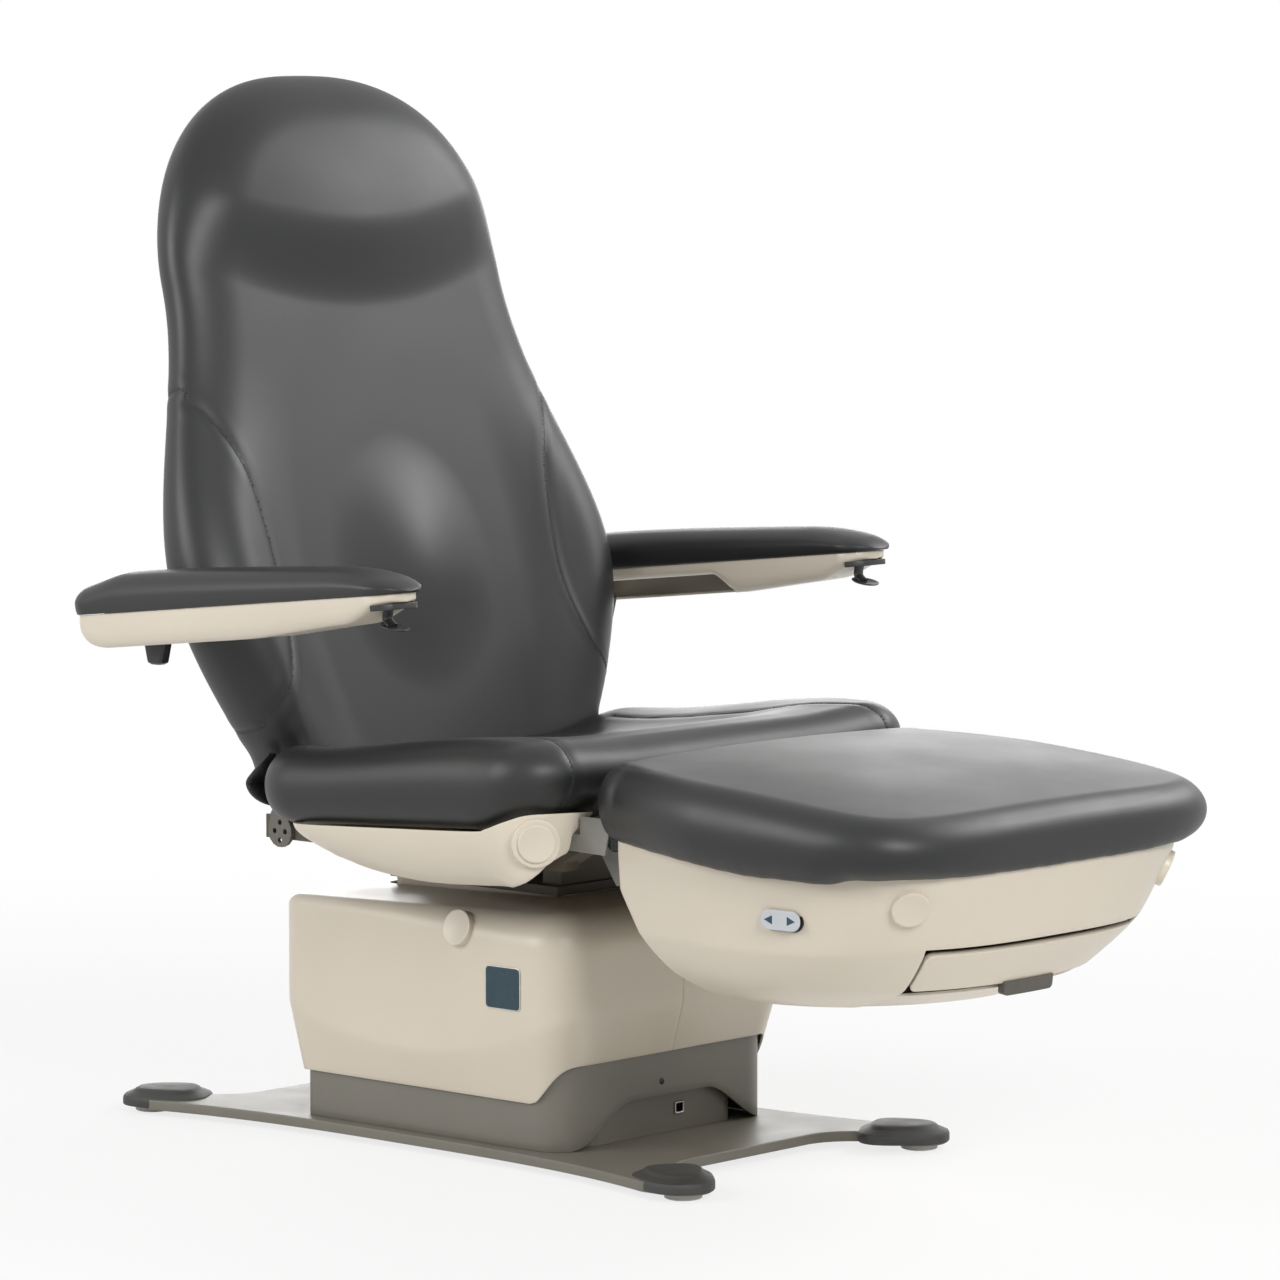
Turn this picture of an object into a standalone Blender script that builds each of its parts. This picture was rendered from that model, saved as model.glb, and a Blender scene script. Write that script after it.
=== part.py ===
"""Bariatric procedure chair: floor plate and lift column, tilting seat, reclining back with flip-up arms,
and a foot section that lowers, extends and holds a tray. Metres, +Z up, the chair faces -Y, and the
sitter's right hand is at -X. Sizes along Y are measured from the middle of the four feet."""

import math

import bmesh
import bpy
import numpy as np
from mathutils import Vector

# Clearances
GAP = 0.0003
SLIDE_GAP = 0.0005
PIN_GAP = 0.0006
SPLIT_GAP = 0.0006
ROUND_SIDES = 16

# Floor plate, glides and rubber foot caps
FOOT_X = 0.2188
FOOT_Y = 0.45
PLATE_LOW = 0.008
PLATE_THICK = 0.0127
PLATE_WAIST = 0.215
PLATE_FLARE = 0.040
PLATE_HOLLOW = 0.075
PLATE_END_Y = 0.362
ARM_END_RADIUS = 0.034
GLIDE_RADIUS = 0.0225
STUD_RADIUS = 0.006
STUD_RISE = 0.004
CAP_LENGTH = 0.112
CAP_WIDTH = 0.092
CAP_RISE = 0.011
CAP_SKIRT_Z = 0.010

# Pedestal, skirt and cover around the column
PEDESTAL_HALF = 0.136
PEDESTAL_FRONT = -0.222
PEDESTAL_REAR = 0.168
PEDESTAL_TOP = 0.125
PEDESTAL_WALL = 0.004
PEDESTAL_RADIUS = 0.02
COVER_WALL = 0.003
COVER_HALF = 0.2165
COVER_FRONT = -0.257
COVER_REAR = 0.223
COVER_FOOT_INSET = 0.018
COVER_FRONT_RADIUS = 0.062
COVER_REAR_RADIUS = 0.03
COVER_TOP_REAR = 0.299
COVER_TOP_FRONT = 0.311
COVER_CREASE_Z = 0.185
COVER_SIDE_Z = 0.078
COVER_FRONT_Z = 0.125
SHOULDER_REAR = 0.014
SHOULDER_FRONT = 0.046
SKIRT_WALL = 0.003
SKIRT_LAP = 0.02
SKIRT_ARCH_Z = 0.071
COVER_CAP_RADIUS = 0.0225
COVER_CAP_Y = -0.083
COVER_CAP_Z = 0.284
COVER_CAP_PROUD = 0.003
COVER_CAP_DEEP = 0.03
BADGE_Y = -0.152
BADGE_Z = 0.219
BADGE_LENGTH = 0.058
BADGE_HEIGHT = 0.053
BADGE_THICK = 0.0012
PORT_X = 0.031
PORT_Z = 0.049
PORT_WIDTH = 0.017
PORT_HEIGHT = 0.015
PORT_DEPTH = 0.018
PORT_WALL = 0.0025
SOCKET_PROUD = 0.001
INLET_Z = 0.055
INLET_WIDTH = 0.05
INLET_HEIGHT = 0.028
INLET_DEPTH = 0.022
CONTROL_BOX_WIDTH = 0.045
CONTROL_BOX_LENGTH = 0.24
CONTROL_BOX_HEIGHT = 0.16

# Lift column: three rectangular tubes, one inside the other
COLUMN_HALF = 0.105
COLUMN_FRONT = -0.145
COLUMN_REAR = 0.125
COLUMN_WALL = 0.006
COLUMN_RADIUS = 0.016
OUTER_TOP = 0.284
STAGE_TOP = 0.318
MIDDLE_LOW = 0.036
INNER_LOW = 0.05
MOTOR_RADIUS = 0.042
MOTOR_HEIGHT = 0.12
SCREW_RADIUS = 0.014
SCREW_TOP = 0.30
HEAD_THICK = 0.011

# Seat tilt
TILT_Y = 0.06
TILT_Z = 0.355
TILT_PIN_RADIUS = 0.012
HEAD_LUG_X = 0.098
HEAD_LUG_THICK = 0.012
HEAD_LUG_RADIUS = 0.02
HEAD_REST_Y = -0.13
HEAD_REST_LENGTH = 0.03
TILT_MOTOR_RADIUS = 0.019
TILT_MOTOR_BACK = 0.052

# Seat frame, board, cushion and side covers
FRAME_LOW = 0.376
FRAME_HEIGHT = 0.03
FRAME_SHEET = 0.006
FRAME_SINK = 0.001
LUG_ROOT_RADIUS = 0.014
FOOT_LUG_RADIUS = 0.018
FOOT_LUG_ROOT = 0.02
RAIL_INSET = 0.11
RAIL_WIDTH = 0.03
FRAME_FRONT = -0.30
FRAME_REAR = 0.195
SHEET_FRONT = -0.275
SHEET_REAR = 0.15
SEAT_LUG_THICK = 0.014
BOARD_THICK = 0.012
BOARD_INSET = 0.06
BOARD_FRONT = -0.215
BOARD_REAR = 0.115
SEAT_HALF = 0.36
SEAT_FRONT = -0.341
SEAT_REAR = 0.122
SEAT_FRONT_RADIUS = 0.072
SEAT_REAR_RADIUS = 0.045
SEAT_TOP = 0.508
SEAT_DISH = 0.028
SEAT_DISH_START = 0.14
SEAT_ROLL = 0.012
SEAT_ROLL_Y = -0.252
SEAT_ROLL_REACH = 0.10
SEAT_REAR_SLOPE = 0.095
SEAT_SLOPE_Y = -0.092
SEAT_EDGE = 0.036
SEAT_STEP_Y = -0.285
SEAT_STEP = 0.038
SEAT_STEP_LENGTH = 0.14
SIDE_COVER_WALL = 0.003
SIDE_COVER_REAR = 0.085
SIDE_COVER_FRONT = -0.385
SIDE_KEEL_Z = 0.360
SIDE_KEEL_REAR = -0.02
SIDE_KEEL_FRONT = -0.23
SIDE_COVER_TUCK = 0.058
SIDE_COVER_RIM = 0.012
SIDE_COVER_NOSE = 0.07
PIVOT_CAP_RADIUS = 0.0225
PIVOT_CAP_PROUD = 0.004
BRACKET_THICK = 0.005
BRACKET_Y = 0.166
BRACKET_Z = 0.386
BRACKET_RADIUS = 0.020
BRACKET_TOP_Z = 0.404
BRACKET_HOLE = 0.0035

# Back
BACK_RECLINE = math.radians(15)
BACK_FOOT_Y = 0.139
BACK_FOOT_Z = 0.483
BACK_LOW = -0.05
BACK_LENGTH = 0.867
BACK_HEAD_START = 0.60
BACK_HEAD_HALF = 0.290
BACK_WIDEST = 0.374
BACK_WIDEST_AT = 0.235
BACK_FOOT_HALF = 0.307
BACK_THICK = 0.075
BACK_EDGE = 0.045
BOLSTER_RISE = 0.032
LUMBAR_RISE = 0.026
LUMBAR_AT = 0.235
LUMBAR_HALF_WIDTH = 0.115
LUMBAR_HALF_LENGTH = 0.13
PILLOW_RISE = 0.04
PILLOW_AT = 0.715
PILLOW_HALF_WIDTH = 0.20
PILLOW_HALF_LENGTH = 0.13
BACK_PANEL_THICK = 0.014
BACK_PANEL_INSET = 0.055
BACK_FRAME_THICK = 0.025
BACK_FRAME_HALF = 0.158
BACK_FRAME_TOP = 0.52
EAR_WIDTH = 0.032
HINGE_LUG_WIDTH = 0.034
EAR_TOP = 0.02
HINGE_ALONG = -0.04
HINGE_PIN_RADIUS = 0.010
EAR_RADIUS = 0.019

# Drives that turn the hinge pins
DRIVE_EYE = 0.020
DRIVE_WIDTH = 0.09
DRIVE_X = 0.065
DRIVE_MOTOR_RADIUS = 0.022
BACK_MOTOR_BACK = 0.058
FOOT_MOTOR_BACK = 0.042
FOOT_MOTOR_DROP = 0.08

# Arms
ARM_PIVOT_ALONG = 0.19
ARM_PIN_RADIUS = 0.009
ARM_INNER = 0.386
ARM_WIDTH = 0.086
ARM_LENGTH = 0.548
ARM_REAR_OVERHANG = 0.043
ARM_SLOPE = math.radians(6)
ARM_SEAM_RISE = 0.019
ARM_PAD_THICK = 0.05
ARM_PAD_TIP = 0.024
HOUSING_WALL = 0.003
HOUSING_INSET = 0.005
HOUSING_DEPTH_REAR = 0.036
HOUSING_DEPTH_TIP = 0.014
HOUSING_SHORT = 0.04
ARM_BAR_HEIGHT = 0.026
LEVER_BACK = 0.027
LEVER_STEM = 0.012
LEVER_WIDTH = 0.016
LEVER_DROP = 0.034
LEVER_DISC = 0.0165
LEVER_DISC_THICK = 0.005
PADDLE_ALONG = 0.088
PADDLE_ACROSS = -0.026
PADDLE_LENGTH = 0.03
PADDLE_WIDTH = 0.016
PADDLE_DROP = 0.024
PADDLE_ROLL = 0.006

# Foot section
FOOT_PIVOT_Y = -0.330
FOOT_PIVOT_Z = 0.424
FOOT_PIN_RADIUS = 0.012
FOOT_EYE = 0.021
FOOT_LUG_THICK = 0.0397
FOOT_ARM_THICK = 0.012
FOOT_ARM_TOP = 0.3945
FOOT_ARM_HEIGHT = 0.034
FOOT_ARM_END = -0.70
FOOT_BOARD_THICK = 0.0115
FOOT_REAR = -0.358
FOOT_FRONT = -0.868
FOOT_FRONT_OVERHANG = 0.019
FOOT_REAR_OVERHANG = 0.006
FOOT_FRONT_RADIUS = 0.13
FOOT_REAR_RADIUS = 0.06
FOOT_TOP = 0.527
FOOT_CROWN = 0.006
FOOT_SLOPE = 0.026
FOOT_EDGE = 0.046
SHELL_WALL = 0.003
SHELL_REAR = -0.382
SHELL_FRONT = -0.836
SHELL_ARM_ROOM = 0.027
SHELL_SPREAD = 0.045
SHELL_FRONT_RADIUS = 0.085
SHELL_LEAST_RADIUS = 0.03
SHELL_REAR_RADIUS = 0.022
SHELL_CREASE_Z = 0.322
SHELL_KNEE_Z = 0.272
SHELL_LOW = 0.243
SHELL_CREASE_INSET = 0.006
SHELL_KNEE_INSET = 0.036
SHELL_LOW_INSET = 0.080
SHELL_FRONT_CREASE = 0.040
SHELL_FRONT_KNEE = 0.068
SHELL_FRONT_LOW = 0.100
TRAY_GAP = 0.0015
TRAY_WALL = 0.003
TRAY_DEPTH = 0.26
RUNNER_X = 0.15
RUNNER_WIDTH = 0.012
PULL_HALF = 0.05
PULL_RISE = 0.014
PULL_DROP = 0.014
PULL_THICK = 0.013
SWITCH_Y = -0.649
SWITCH_Z = 0.356
SWITCH_LENGTH = 0.066
SWITCH_HEIGHT = 0.026
SWITCH_LIFT = 0.0028
SWITCH_THICK = 0.003
SWITCH_STUB = 0.003

# Worked out from the sizes above
PLATE_TOP = PLATE_LOW + PLATE_THICK
RAIL_X = SEAT_HALF - RAIL_INSET
RAIL_FACE = RAIL_X + RAIL_WIDTH / 2
BOARD_HALF = SEAT_HALF - BOARD_INSET
FOOT_ARM_X = RAIL_FACE - FOOT_LUG_THICK - GAP - FOOT_ARM_THICK / 2
SHELL_REAR_HALF = FOOT_ARM_X + FOOT_ARM_THICK / 2 + SHELL_ARM_ROOM
SHELL_FRONT_HALF = SHELL_REAR_HALF + SHELL_SPREAD
FOOT_REAR_HALF = SHELL_REAR_HALF + FOOT_REAR_OVERHANG
FOOT_FRONT_HALF = SHELL_FRONT_HALF + FOOT_FRONT_OVERHANG
FRAME_TOP = FRAME_LOW + FRAME_HEIGHT
BOARD_LOW = FRAME_TOP + GAP
CUSHION_LOW = BOARD_LOW + BOARD_THICK + GAP
BACK_UP = np.array([0.0, math.sin(BACK_RECLINE), math.cos(BACK_RECLINE)])
BACK_OUT = np.array([0.0, -math.cos(BACK_RECLINE), math.sin(BACK_RECLINE)])
BACK_FOOT = np.array([0.0, BACK_FOOT_Y, BACK_FOOT_Z])
PANEL_FACE = -BACK_THICK - GAP
FRAME_FACE = PANEL_FACE - BACK_PANEL_THICK - GAP
FRAME_MIDDLE = FRAME_FACE - BACK_FRAME_THICK / 2
FOOT_BOARD_LOW = FOOT_ARM_TOP + GAP
FOOT_CUSHION_LOW = FOOT_BOARD_LOW + FOOT_BOARD_THICK + GAP


def on_back(x, along, out):
    """Points of the back's own plane: x to the side, along it from its foot, and out towards the sitter."""
    side = np.multiply.outer(np.asarray(x, float), np.array([1.0, 0.0, 0.0]))
    up = np.multiply.outer(np.asarray(along, float), BACK_UP)
    return BACK_FOOT + side + up + np.multiply.outer(np.asarray(out, float), BACK_OUT)


BACK_PIVOT = on_back(0.0, HINGE_ALONG, FRAME_MIDDLE)
ARM_PIVOT = on_back(0.0, ARM_PIVOT_ALONG, FRAME_MIDDLE)
TILT_PIVOT = np.array([0.0, TILT_Y, TILT_Z])
FOOT_PIVOT = np.array([0.0, FOOT_PIVOT_Y, FOOT_PIVOT_Z])
ORIGIN = np.zeros(3)

# Finishes: colour, roughness, metallic
FINISHES = {
    "upholstery": ((0.058, 0.061, 0.061), 0.42, 0.0),
    "cream": ((0.72, 0.65, 0.54), 0.38, 0.0),
    "taupe": ((0.19, 0.18, 0.15), 0.5, 0.0),
    "plate": ((0.20, 0.19, 0.165), 0.45, 0.3),
    "rubber": ((0.035, 0.035, 0.033), 0.7, 0.0),
    "black": ((0.02, 0.02, 0.02), 0.4, 0.0),
    "glide": ((0.62, 0.60, 0.55), 0.5, 0.0),
    "steel": ((0.30, 0.30, 0.28), 0.4, 0.6),
    "bright": ((0.6, 0.6, 0.6), 0.25, 1.0),
    "dark": ((0.05, 0.05, 0.05), 0.5, 0.0),
    "badge": ((0.012, 0.05, 0.07), 0.3, 0.0),
    "switch": ((0.62, 0.64, 0.66), 0.45, 0.0),
}


def clear_scene():
    for item in list(bpy.data.objects):
        bpy.data.objects.remove(item, do_unlink=True)


def finish_material(name):
    found = bpy.data.materials.get(name)
    if found:
        return found
    colour, roughness, metallic = FINISHES[name]
    made = bpy.data.materials.new(name)
    made.use_nodes = True
    shader = made.node_tree.nodes["Principled BSDF"]
    shader.inputs["Base Color"].default_value = (*colour, 1.0)
    shader.inputs["Roughness"].default_value = roughness
    shader.inputs["Metallic"].default_value = metallic
    return made


def piece(name, shape, finish, pivot=ORIGIN):
    """One object from (points, faces), with its origin at the pivot that it turns about."""
    points, faces = shape
    mesh = bpy.data.meshes.new(name)
    mesh.from_pydata((np.asarray(points) - pivot).tolist(), [], faces)
    work = bmesh.new()
    work.from_mesh(mesh)
    bmesh.ops.remove_doubles(work, verts=work.verts, dist=1e-6)
    loose = [corner for corner in work.verts if not corner.link_faces]
    bmesh.ops.delete(work, geom=loose, context="VERTS")
    bmesh.ops.recalc_face_normals(work, faces=work.faces)
    work.to_mesh(mesh)
    work.free()
    mesh.shade_smooth()
    mesh.set_sharp_from_angle(angle=math.radians(35))
    made = bpy.data.objects.new(name, mesh)
    made.data.materials.append(finish_material(finish))
    made.location = Vector(pivot)
    made.parent = CHAIR
    bpy.context.scene.collection.objects.link(made)
    return made


def cut(target, name, shape, operation="DIFFERENCE"):
    """A Boolean on the target, whose tool stays in the file as a hidden wire shape."""
    tool = piece(name, shape, "dark")
    tool.hide_render = True
    tool.display_type = "WIRE"
    step = target.modifiers.new(name, "BOOLEAN")
    step.operation = operation
    step.solver = "EXACT"
    step.object = tool


def together(*shapes):
    """Several closed shapes as one list of points and faces."""
    points = []
    faces = []
    for some_points, some_faces in shapes:
        start = len(points)
        points.extend(np.asarray(some_points).tolist())
        faces.extend([tuple(start + index for index in face) for face in some_faces])
    return np.array(points), faces


def ring_solid(rings):
    """A closed solid through a stack of closed loops, ended by flat or pointed caps."""
    rings = np.asarray(rings, float)
    levels, count = rings.shape[:2]
    faces = []
    for level in range(levels - 1):
        for side in range(count):
            after = (side + 1) % count
            low, high = level * count, (level + 1) * count
            faces.append((low + side, low + after, high + after, high + side))
    faces.append(tuple(range(count - 1, -1, -1)))
    faces.append(tuple(range((levels - 1) * count, levels * count)))
    return rings.reshape(-1, 3), faces


def thick_grid(outer, inner, keep=None, wrap=False, floor=False):
    """A wall between two grids of points. Cells that keep leaves out are windows with their own edges.
    With wrap the columns close on themselves, and with floor the last row is capped."""
    rows, columns = outer.shape[:2]
    across = columns if wrap else columns - 1
    keep = np.ones((rows - 1, across), bool) if keep is None else keep
    size = rows * columns
    faces = []

    def kept(row, column):
        if wrap:
            column %= across
        return 0 <= row < rows - 1 and 0 <= column < across and keep[row, column]

    def wall(first, second):
        faces.append((first, second, second + size, first + size))

    for row in range(rows - 1):
        for column in range(across):
            if not keep[row, column]:
                continue
            after = (column + 1) % columns
            corners = [row * columns + column, row * columns + after]
            corners += [(row + 1) * columns + after, (row + 1) * columns + column]
            faces.append(tuple(corners))
            faces.append(tuple(corner + size for corner in reversed(corners)))
            if not kept(row - 1, column):
                wall(corners[0], corners[1])
            if not kept(row, column + 1):
                wall(corners[1], corners[2])
            if not kept(row + 1, column) and not (floor and row == rows - 2):
                wall(corners[2], corners[3])
            if not kept(row, column - 1):
                wall(corners[3], corners[0])
    if floor:
        last = range((rows - 1) * columns, rows * columns)
        faces.append(tuple(last))
        faces.append(tuple(index + size for index in reversed(last)))
    return np.concatenate([outer.reshape(-1, 3), inner.reshape(-1, 3)]), faces


def box(low, high):
    low, high = np.asarray(low, float), np.asarray(high, float)
    corners = [(0, 0), (1, 0), (1, 1), (0, 1)]
    ends = np.array([low, high])
    rings = [[(ends[i][0], ends[j][1], ends[k][2]) for i, j in corners] for k in (0, 1)]
    return ring_solid(rings)


def turned(centre, axis, profile, sides=ROUND_SIDES):
    """A round solid: the profile lists (distance along the axis, radius)."""
    axis = np.asarray(axis, float)
    across = np.roll(axis, 1)
    third = np.cross(axis, across)
    angles = np.arange(sides) * 2 * math.pi / sides
    circle = np.outer(np.cos(angles), across) + np.outer(np.sin(angles), third)
    rings = [np.asarray(centre) + along * axis + radius * circle for along, radius in profile]
    return ring_solid(rings)


def rod(centre, axis, radius, low, high):
    return turned(centre, axis, [(low, radius), (high, radius)])


def extruded(outline, to_space, low, high):
    """An outline pushed from low to high: to_space turns its two columns and a depth into points."""
    flat = np.asarray(outline, float)
    return ring_solid([to_space(flat[:, 0], flat[:, 1], np.full(len(flat), depth)) for depth in (low, high)])


def along_x(first, second, depth):
    return np.stack([depth, first, second], axis=-1)


def along_z(first, second, depth):
    return np.stack([first, second, depth], axis=-1)


def ease(value):
    """0 before 0, 1 after 1, and a smooth S between."""
    value = np.clip(value, 0.0, 1.0)
    return value * value * (3 - 2 * value)


def bump(distance):
    """1 at 0, falling smoothly to 0 at 1 and beyond."""
    return 1 - ease(np.abs(distance))


def arc(centre, radius, start, end, steps):
    angles = np.radians(np.linspace(start, end, steps + 1))
    return np.stack([centre[0] + radius * np.cos(angles), centre[1] + radius * np.sin(angles)], axis=1)


def half_loop(half, front, rear, front_radius, rear_radius, steps):
    """Half of a rounded rectangle, from the middle of its front round +X to the middle of its rear.
    steps counts the points on the front edge, on each corner, on the side and on the rear edge."""
    front_edge = np.linspace((0.0, front), (half - front_radius, front), steps[0] + 1)
    first = arc((half - front_radius, front + front_radius), front_radius, -90, 0, steps[1])
    side = np.linspace((half, front + front_radius), (half, rear - rear_radius), steps[2] + 1)
    second = arc((half - rear_radius, rear - rear_radius), rear_radius, 0, 90, steps[1])
    rear_edge = np.linspace((half - rear_radius, rear), (0.0, rear), steps[3] + 1)
    return np.concatenate([front_edge[:-1], first, side[1:-1], second, rear_edge[1:]])


def whole_loop(half):
    return np.concatenate([half, half[-2:0:-1] * (-1, 1)])


def loop_normals(loop, closed=True):
    """Unit vectors out of a loop that runs anticlockwise."""
    if closed:
        run = np.roll(loop, -1, axis=0) - np.roll(loop, 1, axis=0)
    else:
        run = np.gradient(loop, axis=0)
        run[[0, -1], 1] = 0.0
    run = run / np.linalg.norm(run, axis=1)[:, None]
    return np.stack([run[:, 1], -run[:, 0]], axis=1)


def inset(loop, distance, closed=True):
    return loop - loop_normals(loop, closed) * np.reshape(distance, (-1, 1))


def raised(loop, height):
    return np.column_stack([loop, np.broadcast_to(height, len(loop))])


def pillow(loop, low, high, edge, edge_steps, top_scales, low_scales, sag=1.0):
    """Rings of a cushion over a plan loop. Its flat underside and crowned top are heights over the plan,
    and a round edge of the given width joins them. sag above 1 brings the widest line lower down. The
    columns of a ring are plan, plan, height."""
    inner = inset(loop, edge)
    middle = (loop.max(axis=0) + loop.min(axis=0)) / 2
    rings = []

    def ring(plan, share):
        floor = low(plan[:, 0], plan[:, 1])
        rings.append(np.column_stack([plan, floor + share * (high(plan[:, 0], plan[:, 1]) - floor)]))

    for scale in low_scales:
        ring(middle + (inner - middle) * scale, 0.0)
    for angle in np.radians(np.linspace(-90, 90, edge_steps + 1)):
        ring(inset(loop, edge * (1 - math.cos(angle))), ((1 + math.sin(angle)) / 2) ** sag)
    for scale in top_scales:
        ring(middle + (inner - middle) * scale, 1.0)
    return np.array(rings)


def tube(half, front, rear, wall, radius, low, high):
    """A straight rounded rectangular tube."""
    outer = whole_loop(half_loop(half, front, rear, radius, radius, (1, 3, 1, 1)))
    inner = whole_loop(
        half_loop(half - wall, front + wall, rear - wall, radius - wall, radius - wall, (1, 3, 1, 1))
    )
    return thick_grid(
        np.array([raised(outer, low), raised(outer, high)]),
        np.array([raised(inner, low), raised(inner, high)]),
        wrap=True,
    )


def mirrored(shape, side):
    points, faces = shape
    return np.asarray(points) * (side, 1, 1), faces


SIDES = (("right", -1), ("left", 1))


# Floor plate and feet
def plate_outline(spread=0.0):
    """A quarter of the plate is a waist that flares to the foot, the round arm end, and a hollow curve
    back to the straight front edge. spread grows it for the pockets of the foot caps."""
    span = np.linspace(0, FOOT_Y - ARM_END_RADIUS, 7)
    flank = np.column_stack([PLATE_WAIST + PLATE_FLARE * (span / span[-1]) ** 3, span])
    end = arc((FOOT_X, FOOT_Y), ARM_END_RADIUS, -5, 175, 8)
    turn = FOOT_X - ARM_END_RADIUS
    start = FOOT_Y - ARM_END_RADIUS * 0.3
    hollow = arc((turn - PLATE_HOLLOW, start), PLATE_HOLLOW, 0, -88, 5)
    hollow[:, 1] = PLATE_END_Y + (hollow[:, 1] - hollow[-1, 1]) * (start - PLATE_END_Y) / PLATE_HOLLOW
    quarter = np.concatenate([flank, end, hollow])
    upper = np.concatenate([quarter, quarter[::-1] * (-1, 1)])
    loop = np.concatenate([upper, (upper * (-1, -1))[1:-1]])
    return inset(loop, -spread)


def base_plate():
    made = piece("base_plate", extruded(plate_outline(), along_z, PLATE_LOW, PLATE_TOP), "plate")
    holes = []
    for x in (-FOOT_X, FOOT_X):
        for y in (-FOOT_Y, FOOT_Y):
            holes.append(rod((x, y, 0), (0, 0, 1), STUD_RADIUS + PIN_GAP, PLATE_LOW - 0.01, PLATE_TOP + 0.01))
    cut(made, "stud_holes", together(*holes))


def foot_pieces(x_sign, y_sign, place):
    """A levelling glide with its stud through the plate, and the rubber cap over the arm's end."""
    centre = np.array([x_sign * FOOT_X, y_sign * FOOT_Y, 0.0])
    low = PLATE_LOW - GAP
    profile = [(0, GLIDE_RADIUS * 0.86), (0.0012, GLIDE_RADIUS), (low - 0.001, GLIDE_RADIUS)]
    profile += [(low, GLIDE_RADIUS * 0.9), (low, STUD_RADIUS), (PLATE_TOP + STUD_RISE, STUD_RADIUS)]
    piece("levelling_glide_" + place, turned(centre, (0, 0, 1), profile), "glide")

    angles = np.arange(20) * 2 * math.pi / 20
    lean = math.atan2(FOOT_X, FOOT_Y) * 1.3
    power = 0.72
    along = np.sign(np.cos(angles)) * np.abs(np.cos(angles)) ** power * CAP_LENGTH / 2
    across = np.sign(np.sin(angles)) * np.abs(np.sin(angles)) ** power * CAP_WIDTH / 2
    across = across * (1 - 0.18 * along / (CAP_LENGTH / 2))
    middle = centre[:2] - np.array([x_sign * 0.008, y_sign * 0.018])
    x = middle[0] + x_sign * (along * math.sin(lean) + across * math.cos(lean))
    y = middle[1] + y_sign * (along * math.cos(lean) - across * math.sin(lean))
    plan = np.column_stack([x, y])
    top = PLATE_TOP + CAP_RISE
    levels = [(1.0, CAP_SKIRT_Z), (1.0, PLATE_TOP - 0.002), (0.96, PLATE_TOP + 0.004)]
    levels += [(0.70, top - 0.003), (0.55, top)]
    rings = [raised(middle + (plan - middle) * scale, height) for scale, height in levels]
    cap = piece("foot_cap_" + place, ring_solid(rings), "rubber")
    pocket = extruded(plate_outline(GAP), along_z, CAP_SKIRT_Z - 0.01, PLATE_TOP + GAP)
    cut(cap, "pocket_" + place, pocket)
    stud = rod(centre, (0, 0, 1), STUD_RADIUS + PIN_GAP, 0, PLATE_TOP + STUD_RISE + GAP)
    cut(cap, "stud_room_" + place, stud)


# Pedestal, column, skirt and cover
def pedestal():
    shape = tube(PEDESTAL_HALF, PEDESTAL_FRONT, PEDESTAL_REAR, PEDESTAL_WALL, PEDESTAL_RADIUS,
                 PLATE_TOP + GAP, PEDESTAL_TOP)
    made = piece("pedestal", shape, "taupe")
    through = PEDESTAL_WALL * 3
    port = box((PORT_X - PORT_WIDTH / 2 - GAP, PEDESTAL_FRONT - through, PORT_Z - PORT_HEIGHT / 2 - GAP),
               (PORT_X + PORT_WIDTH / 2 + GAP, PEDESTAL_FRONT + through, PORT_Z + PORT_HEIGHT / 2 + GAP))
    cut(made, "port_hole", port)


def socket(name, middle, width, height, depth, wall, face_y, inward, finish):
    """A socket body let into a wall: a box that is open towards the outside."""
    def ring(x_half, z_half, y):
        return [(middle[0] + x, y, middle[1] + z) for x, z in
                ((-x_half, -z_half), (x_half, -z_half), (x_half, z_half), (-x_half, z_half))]

    back = face_y + inward * depth
    floor = back - inward * wall
    outer = np.array([ring(width / 2, height / 2, face_y), ring(width / 2, height / 2, back)])
    inner = np.array([ring(width / 2 - wall, height / 2 - wall, face_y),
                      ring(width / 2 - wall, height / 2 - wall, floor)])
    piece(name, thick_grid(outer, inner, wrap=True, floor=True), finish)


COVER_STEPS = (4, 5, 5, 2)


def cover_half_loop(shrink):
    return half_loop(COVER_HALF - shrink, COVER_FRONT + shrink, COVER_REAR - shrink,
                     COVER_FRONT_RADIUS - shrink / 2, COVER_REAR_RADIUS - shrink / 2, COVER_STEPS)


def front_share(loop, reach):
    """1 on the front edge of a loop and 0 on its side, with a smooth S round the front corner."""
    return ease((loop[:, 1].min() + reach - loop[:, 1]) / reach)


def cover_bottom(loop):
    return COVER_SIDE_Z + (COVER_FRONT_Z - COVER_SIDE_Z) * front_share(loop, COVER_FRONT_RADIUS)


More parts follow.
